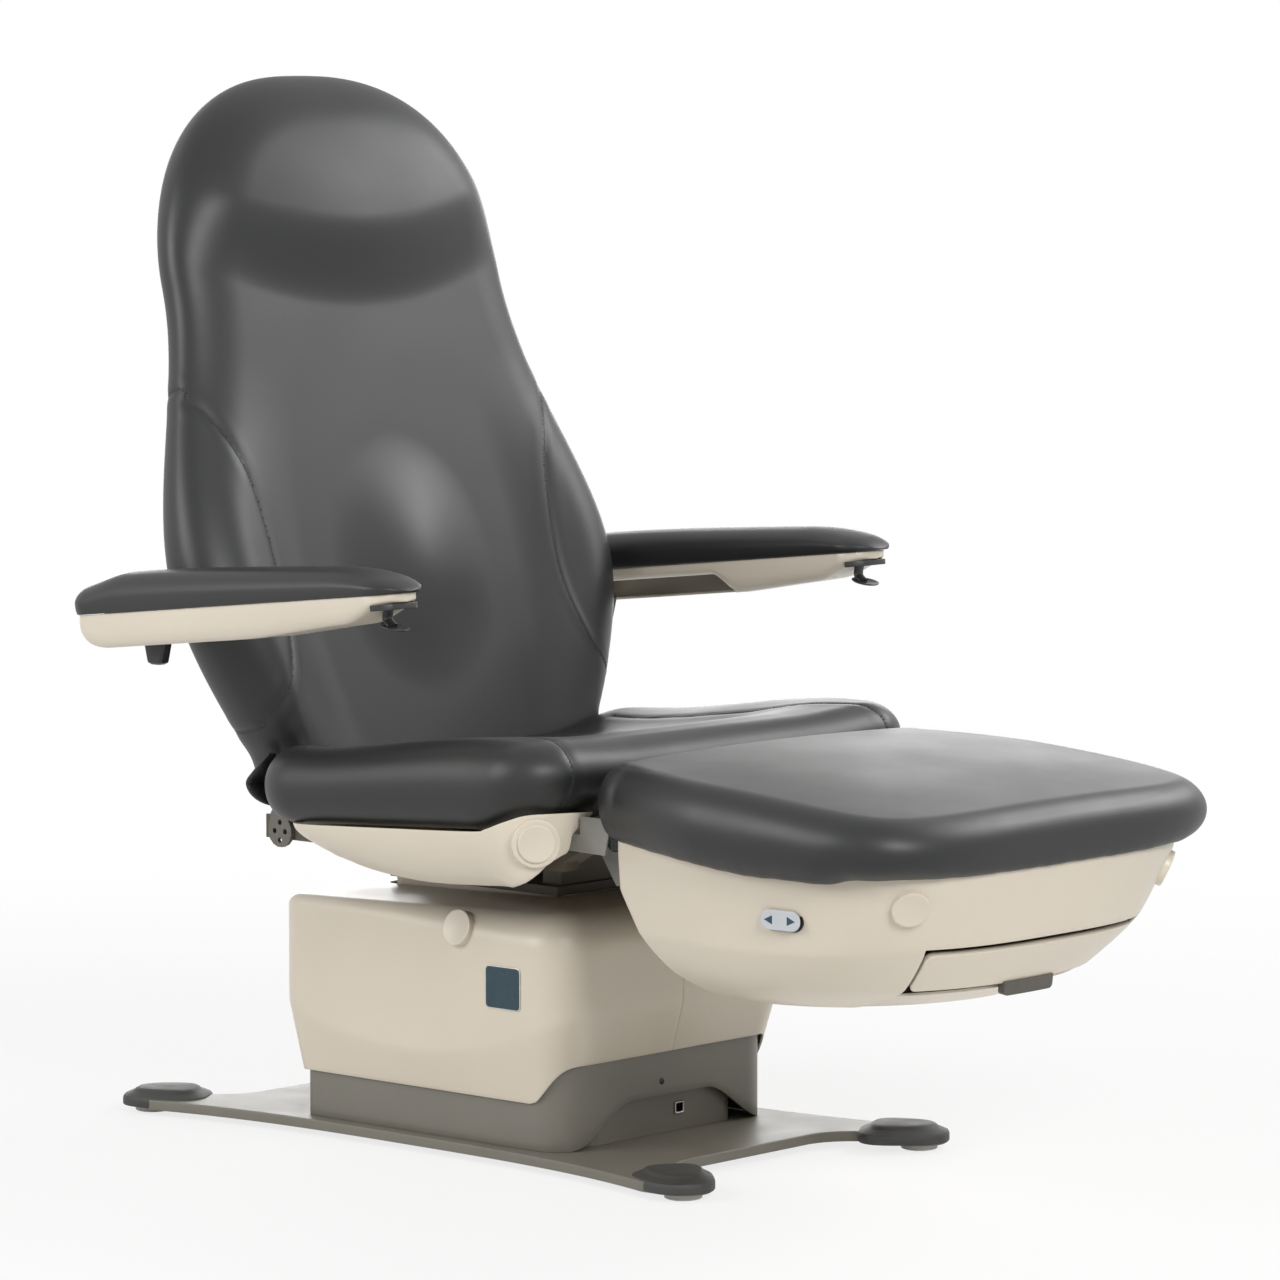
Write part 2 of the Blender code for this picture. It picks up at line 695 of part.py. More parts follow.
def cover_rows(deep):
    """Rows of half of the cover, from the rim of the column's opening over the shoulder and down to the
    swept lower edge. deep is the distance inwards from the outer face."""
    wide = cover_half_loop(0.0)
    opening = half_loop(COLUMN_HALF + 2 * COLUMN_WALL + SLIDE_GAP, COLUMN_FRONT - 2 * COLUMN_WALL - SLIDE_GAP,
                        COLUMN_REAR + 2 * COLUMN_WALL + SLIDE_GAP, COLUMN_RADIUS + COLUMN_WALL,
                        COLUMN_RADIUS + COLUMN_WALL, COVER_STEPS)
    share = (COVER_REAR - wide[:, 1]) / (COVER_REAR - COVER_FRONT)
    top = COVER_TOP_REAR + (COVER_TOP_FRONT - COVER_TOP_REAR) * share
    shoulder = SHOULDER_REAR + (SHOULDER_FRONT - SHOULDER_REAR) * ease(share)
    rim_share = (COVER_REAR - opening[:, 1]) / (COVER_REAR - COVER_FRONT)
    rows = [raised(opening, COVER_TOP_REAR + (COVER_TOP_FRONT - COVER_TOP_REAR) * rim_share - deep)]
    for angle in np.radians((0, 30, 60, 90)):
        plan = inset(wide, shoulder - (shoulder - deep) * math.sin(angle), closed=False)
        rows.append(raised(plan, top - shoulder + (shoulder - deep) * math.cos(angle)))
    rows.append(raised(inset(wide, deep, closed=False), COVER_CREASE_Z))
    for drop in (0.5, 1.0):
        loop = inset(cover_half_loop(COVER_FOOT_INSET * drop), deep, closed=False)
        rows.append(raised(loop, COVER_CREASE_Z + (cover_bottom(loop) - COVER_CREASE_Z) * drop))
    rows = np.array(rows)
    rows[:, :, 0] = np.maximum(rows[:, :, 0], SPLIT_GAP / 2)
    return rows


def base_cover(side_name, side):
    shape = thick_grid(cover_rows(0.0), cover_rows(COVER_WALL))
    made = piece("base_cover_" + side_name, mirrored(shape, side), "cream")
    low, high = COVER_HALF - COVER_CAP_DEEP, COVER_HALF + COVER_CAP_PROUD
    centre = (0, COVER_CAP_Y, COVER_CAP_Z)
    room = rod(centre, (1, 0, 0), COVER_CAP_RADIUS + GAP * 1.5, low - 0.01, high + 0.01)
    cut(made, "cap_room_" + side_name, mirrored(room, side))
    edge = 0.0015
    profile = [(low, COVER_CAP_RADIUS), (high - edge, COVER_CAP_RADIUS), (high, COVER_CAP_RADIUS - edge)]
    cap = turned(centre, (1, 0, 0), profile)
    piece("base_cover_cap_" + side_name, mirrored(cap, side), "cream")


def base_skirt():
    """The skirt stands on the plate, and its lower edge sweeps up to an arch over the front."""
    cover_foot = whole_loop(cover_half_loop(COVER_FOOT_INSET))
    rows = []
    for deep in (0.0, SKIRT_WALL):
        loop = inset(cover_foot, COVER_WALL + GAP * 2 + deep)
        arch = front_share(loop, 0.03) * ease((COVER_HALF - 0.04 - np.abs(loop[:, 0])) / 0.11)
        low = PLATE_TOP + GAP + (SKIRT_ARCH_Z - PLATE_TOP - GAP) * arch
        top = cover_bottom(loop) + SKIRT_LAP
        rows.append([raised(loop, low), raised(loop, (low + top) / 2), raised(loop, top)])
    made = piece("base_skirt", thick_grid(np.array(rows[0]), np.array(rows[1]), wrap=True), "taupe")
    face = cover_foot[:, 1].max() - COVER_WALL - GAP * 2
    through = SKIRT_WALL * 3
    inlet = box((-INLET_WIDTH / 2 - GAP, face - through, INLET_Z - INLET_HEIGHT / 2 - GAP),
                (INLET_WIDTH / 2 + GAP, face + through, INLET_Z + INLET_HEIGHT / 2 + GAP))
    cut(made, "inlet_hole", inlet)
    socket("power_inlet", (0, INLET_Z), INLET_WIDTH, INLET_HEIGHT, INLET_DEPTH, PORT_WALL,
           face + SOCKET_PROUD, -1, "black")


def badge_plate():
    """A plain plate on the right cover half."""
    face = COVER_HALF + GAP
    low = (-face - BADGE_THICK, BADGE_Y - BADGE_LENGTH / 2, BADGE_Z - BADGE_HEIGHT / 2)
    high = (-face, BADGE_Y + BADGE_LENGTH / 2, BADGE_Z + BADGE_HEIGHT / 2)
    piece("badge_plate", box(low, high), "badge")


def column_stage(name, layer, low, high, finish):
    grow = layer * (COLUMN_WALL + SLIDE_GAP)
    shape = tube(COLUMN_HALF + grow, COLUMN_FRONT - grow, COLUMN_REAR + grow, COLUMN_WALL,
                 COLUMN_RADIUS + layer * COLUMN_WALL / 2, low, high)
    piece(name, shape, finish)


def base_inside():
    column_stage("lift_column_outer", 2, PLATE_TOP + GAP, OUTER_TOP, "steel")
    profile = [(PLATE_TOP + GAP, MOTOR_RADIUS), (PLATE_TOP + MOTOR_HEIGHT, MOTOR_RADIUS)]
    profile += [(PLATE_TOP + MOTOR_HEIGHT, SCREW_RADIUS), (SCREW_TOP, SCREW_RADIUS)]
    middle = (0, (COLUMN_FRONT + COLUMN_REAR) / 2, 0)
    piece("lift_motor", turned(middle, (0, 0, 1), profile), "dark")
    low = (PEDESTAL_HALF + GAP, -CONTROL_BOX_LENGTH / 2, PLATE_TOP + GAP)
    high = (low[0] + CONTROL_BOX_WIDTH, CONTROL_BOX_LENGTH / 2, PLATE_TOP + CONTROL_BOX_HEIGHT)
    piece("control_box", box(low, high), "dark")


# Lift stages and head
def lift():
    column_stage("lift_column_middle", 1, MIDDLE_LOW, STAGE_TOP, "cream")
    column_stage("lift_column_inner", 0, INNER_LOW, STAGE_TOP, "steel")
    low = STAGE_TOP + GAP
    grow = COLUMN_WALL + SLIDE_GAP
    plate = box((-COLUMN_HALF - grow, COLUMN_FRONT - grow, low),
                (COLUMN_HALF + grow, COLUMN_REAR + grow, low + HEAD_THICK))
    made = piece("lift_head", plate, "steel")
    sink = HEAD_THICK / 2
    lugs = []
    for side in (-1, 1):
        profile = np.concatenate([
            [(TILT_Y - HEAD_LUG_RADIUS * 1.3, low + sink), (TILT_Y + HEAD_LUG_RADIUS * 1.3, low + sink)],
            arc((TILT_Y, TILT_Z), HEAD_LUG_RADIUS, 0, 180, 10),
        ])
        start = HEAD_LUG_X - HEAD_LUG_THICK
        lugs.append(mirrored(extruded(profile, along_x, start, HEAD_LUG_X), side))
    rest = box((-HEAD_LUG_X, HEAD_REST_Y - HEAD_REST_LENGTH / 2, low + sink),
               (HEAD_LUG_X, HEAD_REST_Y + HEAD_REST_LENGTH / 2, FRAME_TOP - FRAME_SHEET - GAP))
    cut(made, "head_lugs", together(*lugs, rest), "UNION")
    cut(made, "head_bores", rod(TILT_PIVOT, (1, 0, 0), TILT_PIN_RADIUS + PIN_GAP, -0.15, 0.15))
    motor = (TILT_Y - TILT_MOTOR_BACK, low + HEAD_THICK + GAP + TILT_MOTOR_RADIUS)
    drive("tilt_drive", TILT_PIVOT, TILT_PIN_RADIUS, HEAD_LUG_RADIUS, motor, TILT_MOTOR_RADIUS)


def drive(name, pivot, pin_radius, eye, motor, motor_radius):
    """A gearbox that the pin runs through, with its motor beside it along the same direction."""
    gearbox = hull_outline(pivot[1:], eye, motor, motor_radius)
    low, high = DRIVE_X - DRIVE_WIDTH / 2, DRIVE_X + DRIVE_WIDTH / 2
    made = piece(name, extruded(gearbox, along_x, low, low + DRIVE_WIDTH / 3), "dark")
    body = rod((0, *motor), (1, 0, 0), motor_radius * 0.94, low + DRIVE_WIDTH / 6, high)
    cut(made, name + "_motor", body, "UNION")
    cut(made, name + "_bore", rod(pivot, (1, 0, 0), pin_radius + PIN_GAP, -0.2, 0.2))


def hull_outline(first, first_radius, second, second_radius):
    """The outline of two circles joined by their common outer tangents."""
    run = np.asarray(second, float) - np.asarray(first, float)
    heading = math.degrees(math.atan2(run[1], run[0]))
    open_angle = math.degrees(math.acos((first_radius - second_radius) / np.hypot(*run)))
    back = arc(first, first_radius, heading + open_angle, heading + 360 - open_angle, 10)
    front = arc(second, second_radius, heading - open_angle, heading + open_angle, 10)
    return np.concatenate([back, front])


# Seat
def seat_low(x, y):
    """Height of the cushion's underside: flat, with a step up over the foot pivot."""
    return CUSHION_LOW + SEAT_STEP * ease((SEAT_STEP_Y + SEAT_STEP_LENGTH / 2 - y) / SEAT_STEP_LENGTH) + 0 * x


def seat_high(x, y):
    """Height of the cushion's top: a dish between the side bolsters, with a roll along the front."""
    across = ease((np.abs(x) / SEAT_HALF - 0.25) / 0.6)
    dish = SEAT_DISH * (1 - across) * ease((y - SEAT_ROLL_Y) / SEAT_DISH_START)
    roll = SEAT_ROLL * bump((y - SEAT_ROLL_Y) / SEAT_ROLL_REACH)
    return SEAT_TOP - dish + roll - SEAT_REAR_SLOPE * np.maximum(0, y - SEAT_SLOPE_Y)


def seat_frame():
    """A sheet with two rails under it, and lugs for the tilt, back and foot pins."""
    rail = RAIL_FACE
    sheet = box((-rail + FRAME_SINK, SHEET_FRONT, FRAME_TOP - FRAME_SHEET),
                (rail - FRAME_SINK, SHEET_REAR, FRAME_TOP))
    made = piece("seat_frame", sheet, "steel", TILT_PIVOT)
    ear_outer = BACK_FRAME_HALF + GAP
    parts = []
    for side in (-1, 1):
        rail_box = box((RAIL_X - RAIL_WIDTH / 2, FRAME_FRONT, FRAME_LOW),
                       (rail, FRAME_REAR, FRAME_TOP - FRAME_SINK))
        top = FRAME_TOP - FRAME_SHEET / 2
        reach = HEAD_LUG_RADIUS * 1.5
        tilt = np.concatenate([arc((TILT_Y, TILT_Z), HEAD_LUG_RADIUS, 180, 360, 10),
                               [(TILT_Y + reach, top), (TILT_Y - reach, top)]])
        tilt_lug = extruded(tilt, along_x, HEAD_LUG_X + GAP, HEAD_LUG_X + GAP + SEAT_LUG_THICK)
        root = (FRAME_REAR - RAIL_WIDTH, FRAME_LOW + LUG_ROOT_RADIUS)
        rear = hull_outline(BACK_PIVOT[1:], EAR_RADIUS, root, LUG_ROOT_RADIUS)
        rear_lug = extruded(rear, along_x, ear_outer, ear_outer + HINGE_LUG_WIDTH)
        beam = box((ear_outer + FRAME_SINK, FRAME_REAR - RAIL_WIDTH * 1.5, FRAME_LOW + FRAME_SINK),
                   (rail - FRAME_SINK, FRAME_REAR - RAIL_WIDTH / 2, FRAME_TOP - FRAME_SINK * 2))
        root = (FRAME_FRONT + FOOT_LUG_ROOT, FRAME_LOW + FRAME_HEIGHT / 2 + FRAME_SINK)
        front = hull_outline((FOOT_PIVOT_Y, FOOT_PIVOT_Z), FOOT_LUG_RADIUS, root, FRAME_HEIGHT / 2)
        front_lug = extruded(front, along_x, rail - FOOT_LUG_THICK, rail)
        parts.append([mirrored(shape, side) for shape in (rail_box, tilt_lug, beam, rear_lug, front_lug)])
    for number in range(5):
        cut(made, "frame_join_%d" % number, together(parts[0][number], parts[1][number]), "UNION")
    through = RAIL_FACE + RAIL_WIDTH
    pins = ((TILT_PIVOT, TILT_PIN_RADIUS), (BACK_PIVOT, HINGE_PIN_RADIUS), (FOOT_PIVOT, FOOT_PIN_RADIUS))
    bores = [rod(pivot, (1, 0, 0), radius + PIN_GAP, -through, through) for pivot, radius in pins]
    cut(made, "frame_bores", together(*bores))


def seat_soft():
    board = box((-BOARD_HALF, BOARD_FRONT, BOARD_LOW), (BOARD_HALF, BOARD_REAR, BOARD_LOW + BOARD_THICK))
    piece("seat_board", board, "dark", TILT_PIVOT)
    half = half_loop(SEAT_HALF, SEAT_FRONT, SEAT_REAR, SEAT_FRONT_RADIUS, SEAT_REAR_RADIUS, (4, 4, 5, 4))
    loop = whole_loop(half)
    rings = pillow(loop, seat_low, seat_high, SEAT_EDGE, 6, (0.86, 0.7, 0.5, 0.3, 0.0), (0.0, 0.55), 1.25)
    piece("seat_cushion", ring_solid(rings), "upholstery", TILT_PIVOT)


def side_cover_rows(deep):
    """A boat-shaped shell: its rim follows the cushion's underside, and its keel sweeps up at both ends."""
    y = np.linspace(SIDE_COVER_REAR, SIDE_COVER_FRONT, 16)
    share = (SIDE_COVER_REAR - y) / (SIDE_COVER_REAR - SIDE_COVER_FRONT)
    rim = seat_low(0, y) - GAP
    keel = SIDE_KEEL_Z + 0.027 * np.maximum(0, (y - SIDE_KEEL_REAR) / 0.11) ** 2
    keel = keel + 0.06 * np.maximum(0, (SIDE_KEEL_FRONT - y) / 0.15) ** 2
    depth = np.maximum(rim - keel, 0.006)
    nose = SIDE_COVER_NOSE * ease((share - 0.62) / 0.38) ** 1.5
    out = SEAT_HALF - SIDE_COVER_RIM - nose - 0.03 * ease((0.18 - share) / 0.18)
    tuck = SIDE_COVER_TUCK * np.minimum(1, depth / 0.06) * (1 - 0.75 * nose / SIDE_COVER_NOSE)
    rows = []
    for level in np.linspace(0, math.pi / 2, 6):
        x = out - tuck * (1 - math.cos(level)) - deep
        rows.append(np.column_stack([x, y, rim - depth * math.sin(level) + deep * 0.5 * math.sin(level)]))
    return np.array(rows)


def seat_sides(side_name, side):
    outer = side_cover_rows(0.0)
    made = piece("seat_side_cover_" + side_name,
                 mirrored(thick_grid(outer, side_cover_rows(SIDE_COVER_WALL)), side), "cream", TILT_PIVOT)
    start = RAIL_FACE + GAP
    points = outer.reshape(-1, 3)
    near = np.hypot(points[:, 1] - FOOT_PIVOT_Y, points[:, 2] - FOOT_PIVOT_Z) < PIVOT_CAP_RADIUS
    face = points[near, 0].max() + PIVOT_CAP_PROUD
    edge = 0.002
    room = rod(FOOT_PIVOT, (1, 0, 0), PIVOT_CAP_RADIUS + GAP * 1.5, start - 0.01, face + 0.05)
    cut(made, "pivot_room_" + side_name, mirrored(room, side))
    profile = [(start, PIVOT_CAP_RADIUS), (face - edge, PIVOT_CAP_RADIUS), (face, PIVOT_CAP_RADIUS - edge)]
    cap = turned(FOOT_PIVOT, (1, 0, 0), profile)
    piece("pivot_cap_" + side_name, mirrored(cap, side), "cream", TILT_PIVOT)

    outline = hull_outline((BRACKET_Y, BRACKET_Z), BRACKET_RADIUS, (BRACKET_Y + 0.004, BRACKET_TOP_Z), 0.012)
    plate = extruded(outline, along_x, start, start + BRACKET_THICK)
    made = piece("rear_bracket_" + side_name, mirrored(plate, side), "steel", TILT_PIVOT)
    holes = []
    for y, z in ((0.0, 0.011), (0.0, -0.011), (0.009, 0.0), (-0.009, 0.0)):
        centre = (0, BRACKET_Y + y, BRACKET_Z + z)
        profile = [(start - 0.01, BRACKET_HOLE), (start + 0.02, BRACKET_HOLE)]
        holes.append(mirrored(turned(centre, (1, 0, 0), profile, 10), side))
    cut(made, "bracket_holes_" + side_name, together(*holes))


def seat_pins():
    reach = HEAD_LUG_X + GAP + SEAT_LUG_THICK
    piece("tilt_axle", rod(TILT_PIVOT, (1, 0, 0), TILT_PIN_RADIUS, -reach, reach), "bright", TILT_PIVOT)
    back_motor = (BACK_PIVOT[1] - BACK_MOTOR_BACK, FRAME_TOP - FRAME_SHEET - DRIVE_MOTOR_RADIUS - GAP)
    drive("back_drive", BACK_PIVOT, HINGE_PIN_RADIUS, DRIVE_EYE, back_motor, DRIVE_MOTOR_RADIUS)
    foot_motor = (FOOT_PIVOT_Y + FOOT_MOTOR_BACK, FOOT_PIVOT_Z - FOOT_MOTOR_DROP)
    drive("foot_drive", FOOT_PIVOT, FOOT_PIN_RADIUS, DRIVE_EYE, foot_motor, DRIVE_MOTOR_RADIUS)


# Back
def back_half_width(along):
    """Half width up the back: it swells from the foot to the hips, then draws in to the head."""
    swell = np.sin(np.clip(along / BACK_WIDEST_AT, 0, 1) * math.pi / 2)
    draw = ease((along - BACK_WIDEST_AT) / (BACK_HEAD_START - BACK_WIDEST_AT))
    hips = BACK_FOOT_HALF + (BACK_WIDEST - BACK_FOOT_HALF) * swell
    return hips - (BACK_WIDEST - BACK_HEAD_HALF) * draw


def back_loop():
    """Plan of the back: x and the distance along it, round the foot, up the side and over the round head."""
    corner = 0.035
    sides = np.linspace(BACK_LOW + corner, BACK_HEAD_START, 9)
    foot = np.linspace((0.0, BACK_LOW), (BACK_FOOT_HALF - corner, BACK_LOW), 5)
    flank = np.column_stack([back_half_width(sides), sides])
    over = np.radians(np.linspace(0, 90, 8))[1:]
    slope = (BACK_LENGTH - BACK_HEAD_START)
    head = np.column_stack([BACK_HEAD_HALF * np.cos(over) ** 0.78, BACK_HEAD_START + slope * np.sin(over)])
    bend = np.array([(BACK_FOOT_HALF - 0.010, BACK_LOW + 0.010)])
    head[-1, 0] = 0.0
    return whole_loop(np.concatenate([foot, bend, flank, head]))


def back_high(x, along):
    """The back's front: side bolsters, a lumbar bulge and a pillow at the head."""
    beside = ease((np.abs(x) / back_half_width(np.minimum(along, BACK_HEAD_START)) - 0.5) / 0.38)
    bolster = BOLSTER_RISE * beside * bump((along - 0.16) / 0.34)
    from_lumbar = np.hypot(x / LUMBAR_HALF_WIDTH, (along - LUMBAR_AT) / LUMBAR_HALF_LENGTH)
    from_pillow = np.hypot(x / PILLOW_HALF_WIDTH, (along - PILLOW_AT) / PILLOW_HALF_LENGTH)
    return bolster + LUMBAR_RISE * bump(from_lumbar / 1.25) + PILLOW_RISE * bump(from_pillow / 1.15)


def back_low(x, along):
    return -BACK_THICK + 0 * x + 0 * along


def back_space(rings):
    return on_back(rings[..., 0], rings[..., 1], rings[..., 2])


def back():
    rings = pillow(back_loop(), back_low, back_high, BACK_EDGE, 6,
                   (0.88, 0.76, 0.62, 0.48, 0.34, 0.2, 0.0), (0.0, 0.5))
    piece("back_cushion", ring_solid(back_space(rings)), "upholstery", BACK_PIVOT)
    panel = inset(back_loop(), BACK_PANEL_INSET)
    sheet = extruded(panel, on_back, PANEL_FACE - BACK_PANEL_THICK, PANEL_FACE)
    piece("back_panel", sheet, "dark", BACK_PIVOT)

    half = BACK_FRAME_HALF
    inner = half - EAR_WIDTH
    ear = arc((0, HINGE_ALONG), EAR_RADIUS, 0, -180, 8)
    sheet = [(-half, EAR_TOP), (half, EAR_TOP), (half, BACK_FRAME_TOP), (-half, BACK_FRAME_TOP)]
    plate = extruded(sheet, on_back, FRAME_FACE - BACK_FRAME_THICK, FRAME_FACE)
    made = piece("back_frame", plate, "steel", BACK_PIVOT)
    across = np.concatenate([[(EAR_RADIUS, EAR_TOP + 0.03)], ear, [(-EAR_RADIUS, EAR_TOP + 0.03)]])
    across[:, 0] = np.clip(across[:, 0], -BACK_FRAME_THICK / 2 - 0.004, BACK_FRAME_THICK / 2)
    ears = []
    for side in (-1, 1):
        rings = [on_back(np.full(len(across), x), across[:, 1], FRAME_MIDDLE + across[:, 0])
                 for x in (inner, half)]
        ears.append(mirrored(ring_solid(rings), side))
    cut(made, "back_ears", together(*ears), "UNION")
    reach = BACK_FRAME_HALF + GAP + HINGE_LUG_WIDTH
    cut(made, "ear_bores", rod(BACK_PIVOT, (1, 0, 0), HINGE_PIN_RADIUS + GAP, -reach, reach))
    piece("back_hinge_pin", rod(BACK_PIVOT, (1, 0, 0), HINGE_PIN_RADIUS, -reach, reach), "bright", BACK_PIVOT)


# Arms
ARM_RUN = np.array([0.0, -math.cos(ARM_SLOPE), math.sin(ARM_SLOPE)])
ARM_RISE = np.array([0.0, math.sin(ARM_SLOPE), math.cos(ARM_SLOPE)])
ARM_REAR = ARM_PIVOT - ARM_RUN * ARM_REAR_OVERHANG + ARM_RISE * ARM_SEAM_RISE
ARM_MIDDLE = ARM_INNER + ARM_WIDTH / 2


def arm_space(rings):
    """Columns: across from the arm's middle line, along it from its rear end, and up from the pad's seam."""
    rings = np.asarray(rings, float)
    across = np.multiply.outer(rings[..., 0] + ARM_MIDDLE, np.array([1.0, 0.0, 0.0]))
    run = np.multiply.outer(rings[..., 1], ARM_RUN)
    return ARM_REAR + across + run + np.multiply.outer(rings[..., 2], ARM_RISE)


def arm_loop(shrink, length):
    half = ARM_WIDTH / 2 - shrink
    loop = whole_loop(half_loop(half, shrink, length - shrink, half * 0.75, half * 0.98, (1, 4, 3, 1)))
    return loop


def pad_high(across, along):
    share = np.clip(along / ARM_LENGTH, 0, 1)
    thick = ARM_PAD_THICK - (ARM_PAD_THICK - ARM_PAD_TIP) * ease((share - 0.25) / 0.75)
    return thick - 0.012 * (across / (ARM_WIDTH / 2)) ** 2 - 0.012 * ease((0.16 - share) / 0.16)


def pad_low(across, along):
    return GAP + 0 * across + 0 * along


def housing_rows(deep):
    """The arm's underside: a trough whose depth runs out towards the tip."""
    length = ARM_LENGTH - HOUSING_SHORT
    loop = arm_loop(HOUSING_INSET + deep, length)
    share = loop[:, 1] / length
    depth = HOUSING_DEPTH_REAR - (HOUSING_DEPTH_REAR - HOUSING_DEPTH_TIP) * ease((share - 0.3) / 0.75) - deep
    rows = [raised(loop, -GAP)]
    for angle in np.radians((0, 35, 65, 90)):
        plan = inset(loop, 0.014 * (1 - math.cos(angle)))
        rows.append(raised(plan, -depth * (0.45 + 0.55 * math.sin(angle))))
    return arm_space(np.array(rows))


def arm(side_name, side):
    pivot = ARM_PIVOT + np.array([side * ARM_MIDDLE, 0, 0])
    rings = pillow(arm_loop(0.0, ARM_LENGTH), pad_low, pad_high, 0.016, 5, (0.6, 0.0), (0.0,))
    piece("arm_pad_" + side_name, mirrored(ring_solid(arm_space(rings)), side), "upholstery", pivot)
    shape = thick_grid(housing_rows(0.0), housing_rows(HOUSING_WALL), wrap=True, floor=True)
    made = piece("arm_housing_" + side_name, mirrored(shape, side), "cream", pivot)
    bore = rod(ARM_PIVOT, (1, 0, 0), ARM_PIN_RADIUS + PIN_GAP, ARM_INNER - 0.02, ARM_MIDDLE)
    cut(made, "arm_bore_" + side_name, mirrored(bore, side))
    arm_bracket(side_name, side)
    arm_lever(side_name, side)
    arm_paddle(side_name, side)


def arm_bracket(side_name, side):
    """A flat bar on the back frame, which ends in the pin that the arm turns on."""
    behind = FRAME_FACE - BACK_FRAME_THICK - GAP
    start = BACK_FRAME_HALF + GAP
    end = ARM_INNER + HOUSING_INSET - 0.002
    low, high = ARM_PIVOT_ALONG - ARM_BAR_HEIGHT / 2, ARM_PIVOT_ALONG + ARM_BAR_HEIGHT / 2
    flat = [(start, low), (end, low), (end, high), (start, high)]
    half = BACK_FRAME_THICK / 2
    bar = extruded(flat, on_back, FRAME_MIDDLE - half, FRAME_MIDDLE + half)
    made = piece("arm_bracket_" + side_name, mirrored(bar, side), "steel", BACK_PIVOT)
    pin = rod(ARM_PIVOT, (1, 0, 0), ARM_PIN_RADIUS, end - 0.01, ARM_MIDDLE - 0.01)
    cut(made, "arm_pin_" + side_name, mirrored(pin, side), "UNION")
    leaf = [(start - 0.05, low), (start + 0.02, low), (start + 0.02, high), (start - 0.05, high)]
    strap = extruded(leaf, on_back, behind - 0.006, behind)
    cut(made, "arm_strap_" + side_name, mirrored(strap, side), "UNION")
    web = [(start + 0.002, low), (start + 0.02, low), (start + 0.02, high), (start + 0.002, high)]
    joint = extruded(web, on_back, behind - 0.004, FRAME_MIDDLE)
    cut(made, "arm_web_" + side_name, mirrored(joint, side), "UNION")


def arm_point(across, along, up):
    return arm_space(np.array([across, along, up], float))


def across_arm(along, up, across):
    return arm_space(np.stack([across, along, up], axis=-1))


LEVER_ALONG = ARM_LENGTH - LEVER_BACK


def arm_lever(side_name, side):
    """A hooked stem under the tip of the pad, with a round finger disc on its end."""
    radius = LEVER_STEM / 2
    pivot = arm_point(0.0, LEVER_ALONG, -radius - GAP)
    ends = [(LEVER_ALONG + radius * 1.2, -LEVER_DROP), (LEVER_ALONG - radius * 0.4, -LEVER_DROP)]
    stem = np.concatenate([arc((LEVER_ALONG, -radius - GAP), radius, 180, 0, 6), ends])
    shape = extruded(stem, across_arm, -LEVER_WIDTH / 2, LEVER_WIDTH / 2)
    made = piece("arm_lever_" + side_name, mirrored(shape, side), "black", pivot * (side, 1, 1))
    disc_low = -LEVER_DROP - LEVER_DISC_THICK
    rounds = []
    for up, disc_radius in ((-LEVER_DROP + 0.001, LEVER_DISC), (disc_low, LEVER_DISC * 0.9)):
        circle = arc((0, LEVER_ALONG), disc_radius, 0, 337.5, 15)
        rounds.append(arm_space(raised(circle, up)))
    cut(made, "lever_disc_" + side_name, mirrored(ring_solid(rounds), side), "UNION")


def arm_paddle(side_name, side):
    """A lock paddle that hangs under the housing and rolls on its round top edge."""
    pivot_up = -HOUSING_DEPTH_REAR - GAP - PADDLE_ROLL
    pivot = arm_point(PADDLE_ACROSS, PADDLE_ALONG, pivot_up)
    low = pivot_up - PADDLE_DROP
    front = [(PADDLE_ALONG + PADDLE_LENGTH / 3, low + 0.004), (PADDLE_ALONG + PADDLE_LENGTH / 4, low)]
    rear = [(PADDLE_ALONG - PADDLE_LENGTH / 3, low), (PADDLE_ALONG - PADDLE_LENGTH / 2, low + 0.008)]
    outline = np.concatenate([arc((PADDLE_ALONG, pivot_up), PADDLE_ROLL, 180, 0, 6), front, rear])
    shape = extruded(outline, across_arm, PADDLE_ACROSS - PADDLE_WIDTH / 2, PADDLE_ACROSS + PADDLE_WIDTH / 2)
    piece("arm_paddle_" + side_name, mirrored(shape, side), "black", pivot * (side, 1, 1))


# Foot section
def foot_plan(front_half, rear_half, front, rear, front_radius, rear_radius, steps):
    """A rounded rectangle that widens from its rear to where its front corners start."""
    loop = whole_loop(half_loop(front_half, front, rear, front_radius, rear_radius, steps))
    share = np.clip((rear - loop[:, 1]) / (rear - front - front_radius), 0, 1)
    loop[:, 0] *= (rear_half + (front_half - rear_half) * share) / front_half
    return loop


def foot_low(x, y):
    return FOOT_CUSHION_LOW + 0 * x + 0 * y


def foot_high(x, y):
    middle = (FOOT_FRONT + FOOT_REAR) / 2
    span = (FOOT_REAR - FOOT_FRONT) / 2
    far = np.hypot(x / FOOT_FRONT_HALF, (y - middle) / span)
    fall = FOOT_SLOPE * (FOOT_REAR - y) / (FOOT_REAR - FOOT_FRONT)
    return FOOT_TOP + FOOT_CROWN * (1 - np.clip(far, 0, 1) ** 2) - fall


